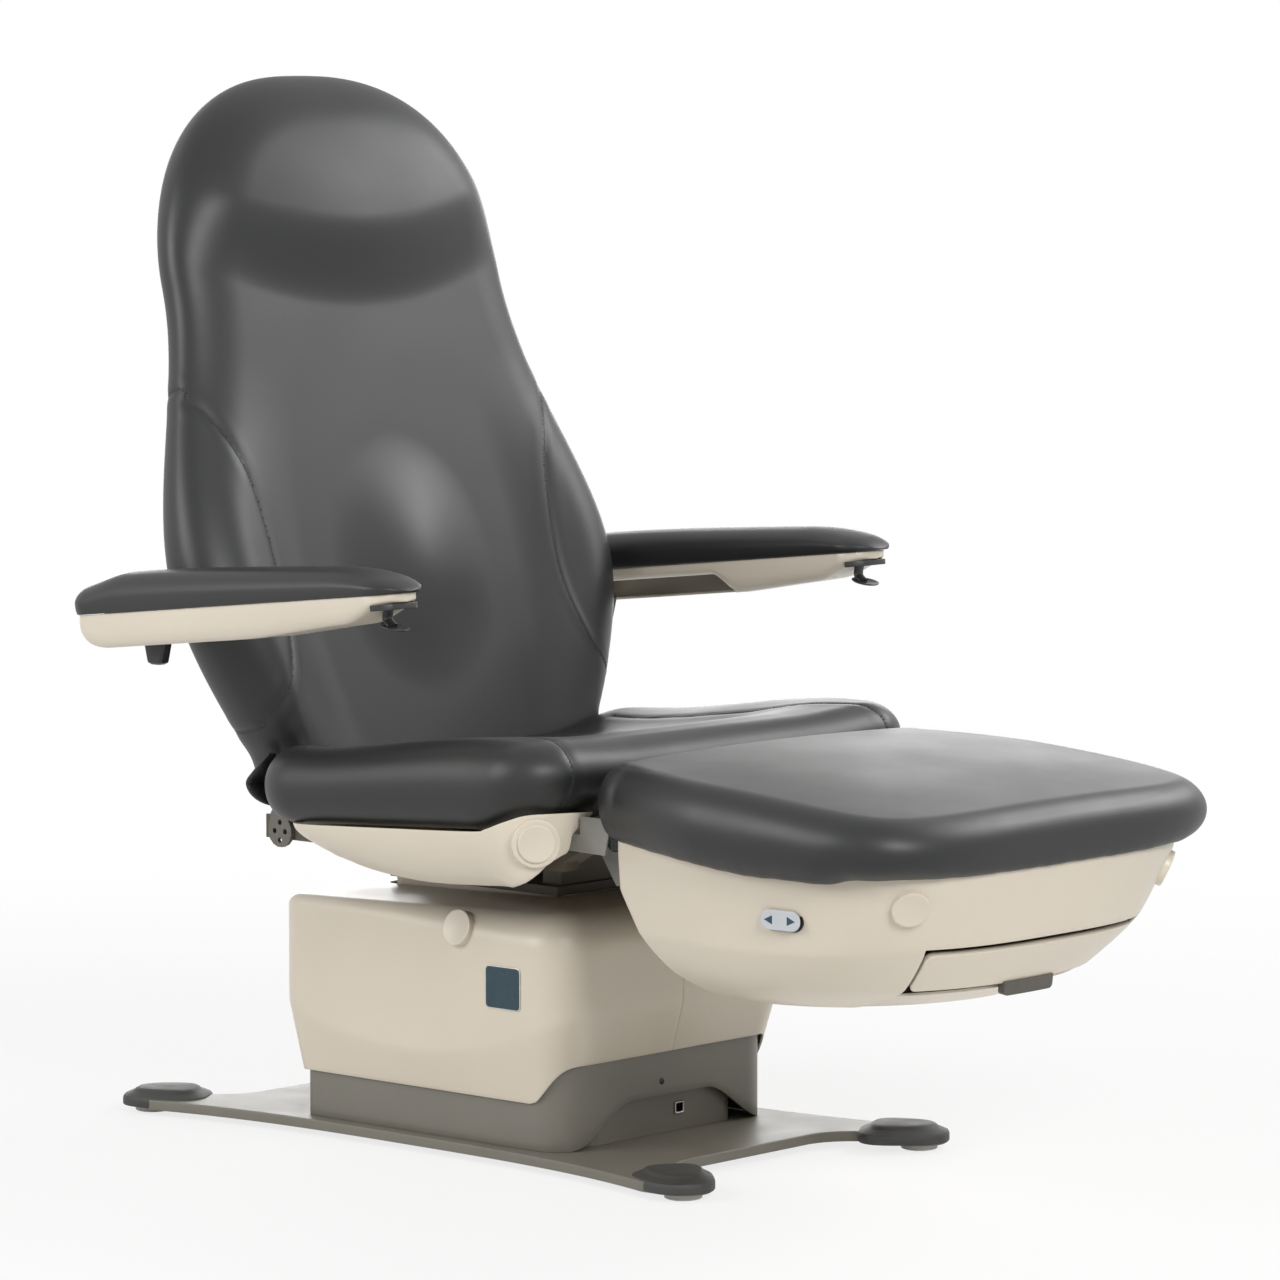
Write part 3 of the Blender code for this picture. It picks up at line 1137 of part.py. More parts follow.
def foot_arms(side_name, side):
    """A steel arm: an eye on the axle, and a straight bar that the foot board runs on."""
    low = FOOT_ARM_TOP - FOOT_ARM_HEIGHT
    eye = arc((FOOT_PIVOT_Y, FOOT_PIVOT_Z), FOOT_EYE, -60, 150, 12)
    bar = [(FOOT_PIVOT_Y - 0.03, FOOT_ARM_TOP), (FOOT_ARM_END, FOOT_ARM_TOP),
           (FOOT_ARM_END, low), (FOOT_PIVOT_Y - 0.02, low)]
    outline = np.concatenate([eye, bar])
    half = FOOT_ARM_THICK / 2
    shape = extruded(outline, along_x, FOOT_ARM_X - half, FOOT_ARM_X + half)
    made = piece("foot_arm_" + side_name, mirrored(shape, side), "steel", FOOT_PIVOT)
    bore = rod(FOOT_PIVOT, (1, 0, 0), FOOT_PIN_RADIUS + GAP, FOOT_ARM_X - 0.02, FOOT_ARM_X + 0.02)
    cut(made, "foot_bore_" + side_name, mirrored(bore, side))


SHELL_STEPS = (4, 4, 4, 3)
SHELL_SHOULDER_Z = FOOT_ARM_TOP - FOOT_ARM_HEIGHT - 0.006
SHELL_LEVELS = ((0.0, 0.0, FOOT_BOARD_LOW - GAP),
                (SHELL_CREASE_INSET / 2, SHELL_FRONT_CREASE / 2, SHELL_SHOULDER_Z),
                (SHELL_CREASE_INSET, SHELL_FRONT_CREASE, SHELL_CREASE_Z),
                (SHELL_KNEE_INSET, SHELL_FRONT_KNEE, SHELL_KNEE_Z),
                (SHELL_LOW_INSET, SHELL_FRONT_LOW, SHELL_LOW))


def shell_loop(shrink, front_shrink):
    """The shell's plan at one level. Its front edge keeps its length while the corners tighten."""
    radius = max(SHELL_FRONT_RADIUS - shrink, SHELL_LEAST_RADIUS)
    return foot_plan(SHELL_FRONT_HALF - shrink, SHELL_REAR_HALF - shrink, SHELL_FRONT + front_shrink,
                     SHELL_REAR - shrink * 0.6, radius, SHELL_REAR_RADIUS, SHELL_STEPS)


def shell_rows(deep):
    rows = []
    for shrink, front_shrink, height in SHELL_LEVELS:
        lift_floor = deep if height == SHELL_LOW else 0.0
        rows.append(raised(inset(shell_loop(shrink, front_shrink), deep), height + lift_floor))
    return np.array(rows)


def foot_shell():
    """A deep pan with a window for the tray across its front, a gap for the arms in its rear wall, and two
    runners on its floor for the tray."""
    outer = shell_rows(0.0)
    keep = np.ones((len(outer) - 1, outer.shape[1]), bool)
    cell_y = (outer[0, :, 1] + np.roll(outer[0, :, 1], -1)) / 2
    keep[2, cell_y < SHELL_FRONT + 0.001] = False
    keep[0, cell_y > SHELL_REAR - 0.001] = False
    shape = thick_grid(outer, shell_rows(SHELL_WALL), keep, wrap=True, floor=True)
    made = piece("foot_shell", shape, "cream", FOOT_PIVOT)
    front = SHELL_FRONT + SHELL_FRONT_LOW + SHELL_WALL * 2
    top = SHELL_KNEE_Z + TRAY_GAP - GAP
    runners = []
    for x in (-RUNNER_X, RUNNER_X):
        low = (x - RUNNER_WIDTH / 2, front, SHELL_LOW + SHELL_WALL / 2)
        runners.append(box(low, (x + RUNNER_WIDTH / 2, SHELL_FRONT + TRAY_DEPTH, top)))
    cut(made, "tray_runners", together(*runners), "UNION")


def foot_soft():
    plan = inset(shell_loop(0.0, 0.0), SHELL_WALL / 3)
    board = extruded(plan, along_z, FOOT_BOARD_LOW, FOOT_BOARD_LOW + FOOT_BOARD_THICK)
    piece("foot_board", board, "dark", FOOT_PIVOT)
    loop = foot_plan(FOOT_FRONT_HALF, FOOT_REAR_HALF, FOOT_FRONT, FOOT_REAR, FOOT_FRONT_RADIUS,
                     FOOT_REAR_RADIUS, (3, 5, 4, 3))
    rings = pillow(loop, foot_low, foot_high, FOOT_EDGE, 6, (0.75, 0.45, 0.0), (0.0,), 1.8)
    piece("foot_cushion", ring_solid(rings), "upholstery", FOOT_PIVOT)


def tray_front(height):
    """Y of the tray's sloping front at a height, in line with the shell around it."""
    share = (SHELL_CREASE_Z - height) / (SHELL_CREASE_Z - SHELL_KNEE_Z)
    return SHELL_FRONT + SHELL_FRONT_CREASE + (SHELL_FRONT_KNEE - SHELL_FRONT_CREASE) * share


def foot_tray():
    """An open tray whose front fills the shell's window, and a finger pull under that front."""
    window = shell_loop(0.0, 0.0)[SHELL_STEPS[0], 0]
    low, high = SHELL_KNEE_Z + TRAY_GAP, SHELL_CREASE_Z - TRAY_GAP
    rear = SHELL_FRONT + TRAY_DEPTH
    rows = []
    for deep in (0.0, TRAY_WALL):
        half = window - TRAY_GAP - deep
        row = []
        for height in (high, low + deep):
            front = tray_front(height) + deep
            row.append([(-half, front, height), (half, front, height),
                        (half, rear - deep, height), (-half, rear - deep, height)])
        rows.append(np.array(row))
    piece("foot_tray", thick_grid(rows[0], rows[1], wrap=True, floor=True), "cream", FOOT_PIVOT)

    top, bottom = low + PULL_RISE, low - PULL_DROP
    back = [(tray_front(top) - GAP, top), (tray_front(low) - GAP, low),
            (tray_front(low) - GAP - 0.001, bottom)]
    face = [(tray_front(low) - PULL_THICK * 0.8, bottom), (tray_front(low) - PULL_THICK, bottom + 0.003),
            (tray_front(top) - PULL_THICK * 0.5, top)]
    outline = np.array(back + face)
    piece("tray_pull", extruded(outline, along_x, -PULL_HALF, PULL_HALF), "black", FOOT_PIVOT)


def foot_switch():
    """A two-way rocker on the right side of the shell, on a short stub at its middle."""
    loop = shell_loop(SHELL_CREASE_INSET / 2, SHELL_FRONT_CREASE / 2)
    flank = loop[loop[:, 0] < -SHELL_REAR_HALF * 0.9]
    flank = flank[np.argsort(flank[:, 1])]
    before, x, after = np.interp([SWITCH_Y - 0.03, SWITCH_Y, SWITCH_Y + 0.03], flank[:, 1], flank[:, 0])
    along = np.array([after - before, 0.06, 0.0]) / math.hypot(after - before, 0.06)
    out = np.array([-along[1], along[0], 0.0])
    centre = np.array([x, SWITCH_Y, SWITCH_Z])
    radius = SWITCH_HEIGHT / 2
    reach = SWITCH_LENGTH / 2 - radius
    outline = np.concatenate([arc((reach, 0), radius, -90, 90, 8), arc((-reach, 0), radius, 90, 270, 8)])

    def on_wall(first, second, depth):
        up = np.multiply.outer(second, np.array([0.0, 0.0, 1.0]))
        return centre + np.multiply.outer(first, along) + up + np.multiply.outer(depth, out)

    plate = extruded(outline, on_wall, SWITCH_LIFT, SWITCH_LIFT + SWITCH_THICK)
    made = piece("foot_switch", plate, "switch", centre)
    stub = extruded(arc((0, 0), SWITCH_STUB, 0, 324, 9), on_wall, GAP * 2, SWITCH_LIFT + SWITCH_THICK / 2)
    cut(made, "switch_stub", stub, "UNION")


def centre_chair():
    """Move the chair along Y so that its own middle stands over the origin."""
    reach = []
    for item in bpy.data.objects:
        if item.type == "MESH" and not item.hide_render:
            reach.extend(corner.co.y + item.location.y for corner in item.data.vertices)
    CHAIR.location.y = -(min(reach) + max(reach)) / 2


def build():
    base_plate()
    for x_name, x_sign in SIDES:
        for y_name, y_sign in (("front", -1), ("rear", 1)):
            foot_pieces(x_sign, y_sign, y_name + "_" + x_name)
    pedestal()
    socket("control_port", (PORT_X, PORT_Z), PORT_WIDTH, PORT_HEIGHT, PORT_DEPTH, PORT_WALL,
           PEDESTAL_FRONT - SOCKET_PROUD, 1, "black")
    base_inside()
    base_skirt()
    badge_plate()
    lift()
    seat_frame()
    seat_soft()
    seat_pins()
    back()
    for side_name, side in SIDES:
        base_cover(side_name, side)
        seat_sides(side_name, side)
        arm(side_name, side)
        foot_arms(side_name, side)
    axle = rod(FOOT_PIVOT, (1, 0, 0), FOOT_PIN_RADIUS, -RAIL_FACE, RAIL_FACE)
    piece("foot_axle", axle, "bright", FOOT_PIVOT)
    foot_shell()
    foot_soft()
    foot_tray()
    foot_switch()


clear_scene()
CHAIR = bpy.data.objects.new("chair", None)
bpy.context.scene.collection.objects.link(CHAIR)
build()
centre_chair()
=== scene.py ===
"""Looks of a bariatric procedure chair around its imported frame: charcoal vinyl cushions and cream moulded
covers on a lift column and a floor plate. Metres, +Z up, the chair faces -Y, the sitter's right is at -X."""

import math

import bmesh
import bpy
import numpy as np
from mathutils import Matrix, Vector


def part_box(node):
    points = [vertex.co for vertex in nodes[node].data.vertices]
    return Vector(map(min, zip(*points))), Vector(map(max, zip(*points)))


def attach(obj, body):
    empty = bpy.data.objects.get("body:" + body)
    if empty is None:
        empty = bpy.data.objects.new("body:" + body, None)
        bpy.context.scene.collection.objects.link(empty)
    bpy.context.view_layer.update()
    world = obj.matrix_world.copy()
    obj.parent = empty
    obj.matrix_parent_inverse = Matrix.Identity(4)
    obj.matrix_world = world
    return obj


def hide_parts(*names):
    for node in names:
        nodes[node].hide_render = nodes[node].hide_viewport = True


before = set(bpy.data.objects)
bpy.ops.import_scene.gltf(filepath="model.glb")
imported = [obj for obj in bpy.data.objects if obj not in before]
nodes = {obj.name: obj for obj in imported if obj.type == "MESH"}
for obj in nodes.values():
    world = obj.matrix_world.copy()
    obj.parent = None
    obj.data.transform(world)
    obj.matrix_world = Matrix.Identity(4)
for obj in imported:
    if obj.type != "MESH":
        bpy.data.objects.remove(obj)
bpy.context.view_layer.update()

# Studio
# A pale painted floor that fades into a white surround, with soft boxes to both sides, in front and behind.
# The camera stands where the photograph was taken from.
plate_low, plate_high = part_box("base_plate")
MIDDLE_Y = (plate_low.y + plate_high.y) / 2
WELD = 2e-6
FLOOR_PALE = (0.86, 0.86, 0.855)
FLOOR_RADIUS = 7.0
FLOOR_DROP = 0.0003
FADE_START, FADE_END = 1.1, 3.0
LENS, SENSOR = 164.42, 36.0
CAMERA_AT = Vector((-5.287, MIDDLE_Y - 4.920, 1.285))
CAMERA_BACK = Vector((-0.7418, -0.6642, 0.0926))
CHAIR_MIDDLE = (0.0, 0.0, 0.6)
AMBIENT = 0.26
FLOOR_GLOW = 0.78


def surface(name, grid, around=False, caps=False, inside=None, keep=None, sharp=35):
    """A smooth mesh through a grid of points: rows by columns by (x, y, z), with y from the middle of the
    feet. around joins the end of each row to its start, caps closes the first and last rows, and keep says
    which cells stay. An open form needs inside, a point that its faces look away from."""
    rows, columns = grid.shape[:2]
    index = np.arange(rows * columns).reshape(rows, columns)
    wide = np.column_stack([index, index[:, 0]]) if around else index
    cells = np.stack([wide[:-1, :-1], wide[:-1, 1:], wide[1:, 1:], wide[1:, :-1]], axis=-1)
    cells = cells[keep] if keep is not None else cells
    faces = cells.reshape(-1, 4).tolist()
    if caps:
        faces += [index[0, ::-1].tolist(), index[-1].tolist()]
    mesh = bpy.data.meshes.new(name)
    mesh.from_pydata((grid.reshape(-1, 3) + (0.0, MIDDLE_Y, 0.0)).tolist(), [], faces)
    work = bmesh.new()
    work.from_mesh(mesh)
    bmesh.ops.remove_doubles(work, verts=work.verts, dist=WELD)
    bmesh.ops.delete(work, geom=[v for v in work.verts if not v.link_faces], context="VERTS")
    bmesh.ops.recalc_face_normals(work, faces=work.faces)
    work.to_mesh(mesh)
    work.free()
    if inside is not None:
        count = len(mesh.polygons)
        normals, centres = np.zeros(count * 3), np.zeros(count * 3)
        mesh.polygons.foreach_get("normal", normals)
        mesh.polygons.foreach_get("center", centres)
        away = centres.reshape(-1, 3) - (inside[0], inside[1] + MIDDLE_Y, inside[2])
        if (normals.reshape(-1, 3) * away).sum() < 0:
            mesh.flip_normals()
    mesh.shade_smooth()
    mesh.set_sharp_from_angle(angle=math.radians(sharp))
    made = bpy.data.objects.new(name, mesh)
    bpy.context.scene.collection.objects.link(made)
    return made


def shade(name, colour, roughness, metallic=0.0):
    """A material whose Principled shader holds these plain values on its own sockets."""
    made = bpy.data.materials.new(name)
    made.use_nodes = True
    shader = made.node_tree.nodes["Principled BSDF"]
    shader.inputs["Base Color"].default_value = (*colour, 1.0)
    shader.inputs["Roughness"].default_value = roughness
    shader.inputs["Metallic"].default_value = metallic
    return made


def add_node(tree, kind, settings=(), feeds=(), **sockets):
    """A new node. Feeds go to its first sockets in order, and other sockets are fed by name. A feed is a
    number, a colour, or the output of another node."""
    made = tree.nodes.new(kind)
    for name, value in dict(settings).items():
        setattr(made, name, value)
    by_name = [(made.inputs[name.replace("_", " ")], value) for name, value in sockets.items()]
    for socket, value in [*zip(made.inputs, feeds), *by_name]:
        if isinstance(value, bpy.types.NodeSocket):
            tree.links.new(value, socket)
        else:
            socket.default_value = value
    return made


def seen_directly(tree):
    """1 for the camera's own rays and for those that it sends on by a reflection or through glass, and 0
    for all other light."""
    rays = add_node(tree, "ShaderNodeLightPath").outputs
    adding = {"operation": "ADD", "use_clamp": True}
    seen = add_node(tree, "ShaderNodeMath", adding, (rays["Is Camera Ray"], rays["Is Glossy Ray"]))
    either = (seen.outputs["Value"], rays["Is Transmission Ray"])
    return add_node(tree, "ShaderNodeMath", adding, either).outputs["Value"]


turn = np.linspace(0, 2 * math.pi, 96, endpoint=False)
reach = np.array([0.0, 0.5, FADE_START, FADE_END, FLOOR_RADIUS])[:, None]
floor_grid = np.stack([reach * np.cos(turn), reach * np.sin(turn), 0 * reach * turn - FLOOR_DROP], axis=-1)
floor = surface("floor", floor_grid, around=True, inside=(0, 0, -1))
floor_paint = shade("floor_paint", FLOOR_PALE, 0.85)
floor.data.materials.append(floor_paint)
tree = floor_paint.node_tree
place = add_node(tree, "ShaderNodeTexCoord").outputs["Object"]
apart = add_node(tree, "ShaderNodeVectorMath", {"operation": "LENGTH"}, Vector=place).outputs["Value"]
fade = add_node(tree, "ShaderNodeMapRange", {"interpolation_type": "SMOOTHSTEP"}, Value=apart,
                From_Min=FADE_START, From_Max=FADE_END).outputs["Result"]
clear = add_node(tree, "ShaderNodeBsdfTransparent").outputs["BSDF"]
glow = add_node(tree, "ShaderNodeEmission").outputs["Emission"]
glow_share = add_node(tree, "ShaderNodeMath", {"operation": "MULTIPLY"}, (seen_directly(tree), FLOOR_GLOW))
paint = tree.nodes["Principled BSDF"].outputs["BSDF"]
lit = add_node(tree, "ShaderNodeMixShader", (), (glow_share.outputs["Value"], paint, glow))
mixed = add_node(tree, "ShaderNodeMixShader", (), (fade, lit.outputs["Shader"], clear))
tree.links.new(mixed.outputs["Shader"], tree.nodes["Material Output"].inputs["Surface"])

world = bpy.data.worlds.new("white_surround")
bpy.context.scene.world = world
world.use_nodes = True
tree = world.node_tree
level = add_node(tree, "ShaderNodeMapRange", Value=seen_directly(tree), To_Min=AMBIENT, To_Max=1.0)
tree.links.new(level.outputs["Result"], tree.nodes["Background"].inputs["Strength"])
tree.nodes["Background"].inputs["Color"].default_value = (1.0, 1.0, 1.0, 1.0)


def soft_box(name, at, towards, width, height, power):
    lamp = bpy.data.lights.new(name, "AREA")
    lamp.shape = "RECTANGLE"
    lamp.size, lamp.size_y, lamp.energy = width, height, power
    holder = bpy.data.objects.new(name, lamp)
    holder.location = at
    holder.visible_camera = False
    holder.rotation_euler = (Vector(towards) - Vector(at)).to_track_quat("-Z", "Y").to_euler()
    bpy.context.scene.collection.objects.link(holder)


soft_box("right_box", (2.9, -1.0, 2.6), (0.0, 0.2, 1.0), 2.2, 1.2, 56)
soft_box("left_box", (-2.9, 1.3, 1.8), CHAIR_MIDDLE, 2.2, 1.5, 50)
soft_box("front_box", (-1.4, -3.4, 2.3), CHAIR_MIDDLE, 1.6, 1.2, 80)
soft_box("backdrop_box", (3.3, 3.3, 1.0), CHAIR_MIDDLE, 3.4, 1.7, 65)
lens = bpy.data.cameras.new("camera")
lens.lens, lens.sensor_width = LENS, SENSOR
camera = bpy.data.objects.new("camera", lens)
camera.location = CAMERA_AT
camera.rotation_euler = (-CAMERA_BACK).to_track_quat("-Z", "Y").to_euler()
bpy.context.scene.collection.objects.link(camera)
bpy.context.scene.camera = camera
bpy.context.scene.view_settings.view_transform = "Standard"

# Floor plate
# A laser-cut steel plate, 12.7 mm thick, with four arms that flare out to the feet. It is powder coated
# in warm grey, and its edges are broken round.
FOOT_X, FOOT_Y = 0.2188, 0.45
PLATE_LOW, PLATE_THICK = 0.008, 0.0127
PLATE_TOP = PLATE_LOW + PLATE_THICK
PLATE_WAIST, PLATE_FLARE, PLATE_END_Y = 0.215, 0.040, 0.362
PLATE_HOLLOW, ARM_END_RADIUS = 0.075, 0.034
PLATE_ROUND = 0.0016
POWDER_GREY = (0.180, 0.168, 0.138)
CLOUD_LOW, CLOUD_HIGH = 0.3, 0.7


def arc(centre, radius, start, end, steps):
    """Points on a circle from one angle to another, in degrees."""
    angles = np.radians(np.linspace(start, end, steps + 1))
    return np.stack([centre[0] + radius * np.cos(angles), centre[1] + radius * np.sin(angles)], axis=1)


def inset(loop, distance, closed=True):
    """A loop that runs anticlockwise, moved inwards along its own normals."""
    run = np.roll(loop, -1, axis=0) - np.roll(loop, 1, axis=0)
    if not closed:
        run = np.gradient(loop, axis=0)
        run[[0, -1], 1] = 0.0
    run = run / np.linalg.norm(run, axis=1)[:, None]
    return loop - np.stack([run[:, 1], -run[:, 0]], axis=1) * np.reshape(distance, (-1, 1))


def raised(loop, height):
    """A flat loop lifted to one height, or to a height at each point."""
    return np.column_stack([loop, np.broadcast_to(height, len(loop))])


def slab(name, loop, low, high, edge, to_space=None):
    """A flat plate over a loop, whose upper and lower edges are quarter rounds. Two rings lie on each flat
    face, so that the round runs out into a plane."""
    bend = np.radians(np.linspace(0, 90, 5))
    steps = [(edge * 3, low), *((edge * (1 - math.sin(a)), low + edge * (1 - math.cos(a))) for a in bend)]
    steps += [*((edge * (1 - math.cos(a)), high - edge * (1 - math.sin(a))) for a in bend), (edge * 3, high)]
    rings = np.array([raised(inset(loop, inward), height) for inward, height in steps])
    return surface(name, to_space(rings) if to_space else rings, around=True, caps=True)


def fit(piece, material, body, slot, *stands_for):
    """Gives a piece its finish and fixes it to a body. The nodes that it stands for are hidden."""
    piece.data.materials.append(material)
    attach(piece, body)
    if stands_for:
        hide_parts(*stands_for)


def tint(colour, share):
    """The same colour, darker or lighter by a share."""
    return tuple(part * share for part in colour)


def coated(name, colour, spread, gloss, cloud_scale, *bumps, metallic=0.0):
    """A material with a real surface. A slow noise moves its colour between two shares of it and its
    roughness between two values, and each (scale, depth, strength) adds a layer of fine bumps."""
    made = shade(name, colour, sum(gloss) / 2, metallic)
    tree = made.node_tree
    shader = tree.nodes["Principled BSDF"]
    place = add_node(tree, "ShaderNodeTexCoord").outputs["Object"]
    cloud = add_node(tree, "ShaderNodeTexNoise", Vector=place, Scale=cloud_scale, Detail=5.0,
                     Roughness=0.6).outputs["Fac"]
    ramp = add_node(tree, "ShaderNodeValToRGB", Fac=cloud)
    for stop, position, share in zip(ramp.color_ramp.elements, (CLOUD_LOW, CLOUD_HIGH), spread):
        stop.position = position
        stop.color = (*tint(colour, share), 1.0)
    tree.links.new(ramp.outputs["Color"], shader.inputs["Base Color"])
    rough = add_node(tree, "ShaderNodeMapRange", (), (cloud, CLOUD_LOW, CLOUD_HIGH, *gloss))
    tree.links.new(rough.outputs["Result"], shader.inputs["Roughness"])
    normal = None
    for scale, depth, strength in bumps:
        height = add_node(tree, "ShaderNodeTexNoise", Vector=place, Scale=scale, Detail=3.0).outputs["Fac"]
        layer = add_node(tree, "ShaderNodeBump", Height=height, Distance=depth, Strength=strength)
        if normal is not None:
            tree.links.new(normal, layer.inputs["Normal"])
        normal = layer.outputs["Normal"]
    tree.links.new(normal, shader.inputs["Normal"])
    return made


def plate_outline(fine):
    """A quarter of the plate: a waist that flares with the cube of its length, the round arm end, and a
    hollow arc back to the straight front edge. The other quarters are its mirror images."""
    span = np.linspace(0, FOOT_Y - ARM_END_RADIUS, 8 * fine)
    flank = np.column_stack([PLATE_WAIST + PLATE_FLARE * (span / span[-1]) ** 3, span])
    end = arc((FOOT_X, FOOT_Y), ARM_END_RADIUS, -5, 175, 8 * fine)
    start = FOOT_Y - ARM_END_RADIUS * 0.3
    hollow = arc((FOOT_X - ARM_END_RADIUS - PLATE_HOLLOW, start), PLATE_HOLLOW, 0, -88, 5 * fine)
    hollow[:, 1] = PLATE_END_Y + (hollow[:, 1] - hollow[-1, 1]) * (start - PLATE_END_Y) / PLATE_HOLLOW
    quarter = np.concatenate([flank, end, hollow])
    upper = np.concatenate([quarter, quarter[::-1] * (-1, 1)])
    return np.concatenate([upper, (upper * (-1, -1))[1:-1]])


plate_paint = coated("plate_powder_coat", POWDER_GREY, (0.93, 1.06), (0.40, 0.50), 14.0,
                     (900.0, 0.0004, 0.16), (190.0, 0.0006, 0.08))
plate = slab("floor_plate", plate_outline(5), PLATE_LOW, PLATE_TOP, PLATE_ROUND)
fit(plate, plate_paint, "base", "plate", "base_plate")

# Foot caps and glides
# A moulded rubber cap is pushed over the end of each arm, with a raised grip on its top. Under it a nylon
# glide screws in for levelling.
SIDES = (("right", -1), ("left", 1))
GLIDE_RADIUS, GLIDE_GAP = 0.0225, 0.0003
CAP_LENGTH, CAP_WIDTH, CAP_RISE = 0.112, 0.092, 0.011
CAP_SKIRT_Z = 0.010
CAP_POWER, CAP_TAPER = 0.72, 0.18
CAP_LEAN = math.atan2(FOOT_X, FOOT_Y) * 1.3
CAP_SET_BACK = (0.008, 0.018)
RUBBER_BLACK = (0.036, 0.036, 0.034)
NYLON = (0.62, 0.60, 0.55)

rubber = coated("foot_rubber", RUBBER_BLACK, (0.85, 1.25), (0.52, 0.66), 40.0, (1500.0, 0.0003, 0.25))
nylon = coated("glide_nylon", NYLON, (0.9, 1.0), (0.4, 0.5), 60.0, (2500.0, 0.0002, 0.1))


def turned(name, centre, axis, profile, sides=64):
    """A lathe shape: (distance along the axis, radius) carried once round the axis."""
    axis = np.asarray(axis, float)
    across = np.cross(axis, (1.0, 0.0, 0.0) if abs(axis[2]) > 0.9 else (0.0, 0.0, 1.0))
    across = across / np.linalg.norm(across)
    third = np.cross(axis, across)
    angles = np.arange(sides) * 2 * math.pi / sides
    circle = np.outer(np.cos(angles), across) + np.outer(np.sin(angles), third)
    profile = np.asarray(profile, float)
    grid = np.asarray(centre) + profile[:, 0, None, None] * axis + profile[:, 1, None, None] * circle
    return surface(name, grid, around=True, caps=True)


def foot_cap(place, x_sign, y_sign):
    """The cap's plan is a rounded oblong, a power-law ellipse that narrows outwards. Rings of it climb from
    the skirt over the shoulder to a raised grip. A glide stands under it."""
    angles = np.linspace(0, 2 * math.pi, 96, endpoint=False)
    along = np.sign(np.cos(angles)) * np.abs(np.cos(angles)) ** CAP_POWER * CAP_LENGTH / 2
    across = np.sign(np.sin(angles)) * np.abs(np.sin(angles)) ** CAP_POWER * CAP_WIDTH / 2
    across = across * (1 - CAP_TAPER * along / (CAP_LENGTH / 2))
    middle = np.array([x_sign * (FOOT_X - CAP_SET_BACK[0]), y_sign * (FOOT_Y - CAP_SET_BACK[1])])
    x = middle[0] + x_sign * (along * math.sin(CAP_LEAN) + across * math.cos(CAP_LEAN))
    y = middle[1] + y_sign * (along * math.cos(CAP_LEAN) - across * math.sin(CAP_LEAN))
    plan = np.column_stack([x, y])
    top = PLATE_TOP + CAP_RISE
    levels = ((0.0, CAP_SKIRT_Z), (0.985, CAP_SKIRT_Z), (1.0, CAP_SKIRT_Z + 0.001), (1.0, PLATE_TOP - 0.003),
              (0.992, PLATE_TOP - 0.001), (0.965, PLATE_TOP + 0.0015), (0.80, top - 0.0055),
              (0.745, top - 0.0042), (0.715, top - 0.0022), (0.66, top - 0.0006), (0.60, top),
              (0.3, top + 0.0003), (0.0, top + 0.0004))
    rings = np.array([raised(middle + (plan - middle) * scale, height) for scale, height in levels])
    fit(surface("cap_" + place, rings, around=True), rubber, "base", "rubber", "foot_cap_" + place)
    neck = PLATE_LOW - GLIDE_GAP
    steps = ((0, 0), (0, 0.84), (0.0006, 0.93), (0.0016, 1), (neck - 0.0014, 1), (neck - 0.0004, 0.95),
             (neck, 0.88), (neck, 0))
    profile = [(height, GLIDE_RADIUS * share) for height, share in steps]
    glide = turned("glide_" + place, (x_sign * FOOT_X, y_sign * FOOT_Y, 0), (0, 0, 1), profile)
    fit(glide, nylon, "base", "glide", "levelling_glide_" + place)


for x_name, x_sign in SIDES:
    for y_name, y_sign in (("front", -1), ("rear", 1)):
        foot_cap(y_name + "_" + x_name, x_sign, y_sign)

# Pedestal and sockets
# A folded steel box around the foot of the column, painted like the skirt. Its front has the socket for a
# foot control in a pressed metal frame, and the power inlet sits in the skirt behind.
TAUPE = (0.190, 0.178, 0.150)
BLACK = (0.018, 0.018, 0.018)
STEEL = (0.42, 0.41, 0.39)
PORT_FRAME, PORT_FRAME_PROUD, PORT_CORNER = 0.0022, 0.0012, 0.0012

taupe = coated("skirt_taupe", TAUPE, (0.95, 1.05), (0.36, 0.46), 9.0, (1300.0, 0.0003, 0.10))
black_plastic = coated("black_plastic", BLACK, (0.8, 1.4), (0.32, 0.48), 60.0, (1700.0, 0.0002, 0.14))
zinc = coated("zinc_steel", STEEL, (0.86, 1.08), (0.30, 0.46), 24.0, (700.0, 0.0002, 0.08), metallic=0.85)


def dress(material, *names):
    """A finish for nodes whose shape stays as it is."""
    for name in names:
        nodes[name].data.materials.clear()
        nodes[name].data.materials.append(material)


def round_box(half_x, half_y, radius, steps=6):
    """A rounded rectangle about the origin, anticlockwise."""
    corners = ((half_x, -half_y, -90), (half_x, half_y, 0), (-half_x, half_y, 90), (-half_x, -half_y, 180))
    return np.concatenate([arc((x - math.copysign(radius, x), y - math.copysign(radius, y)), radius,
                               start, start + 90, steps) for x, y, start in corners])


def space(origin, *axes):
    """A piece's own space, as a function that carries three columns of points along three axes from an
    origin."""
    return lambda points: np.asarray(origin) + np.asarray(points, float) @ np.array(axes, float)


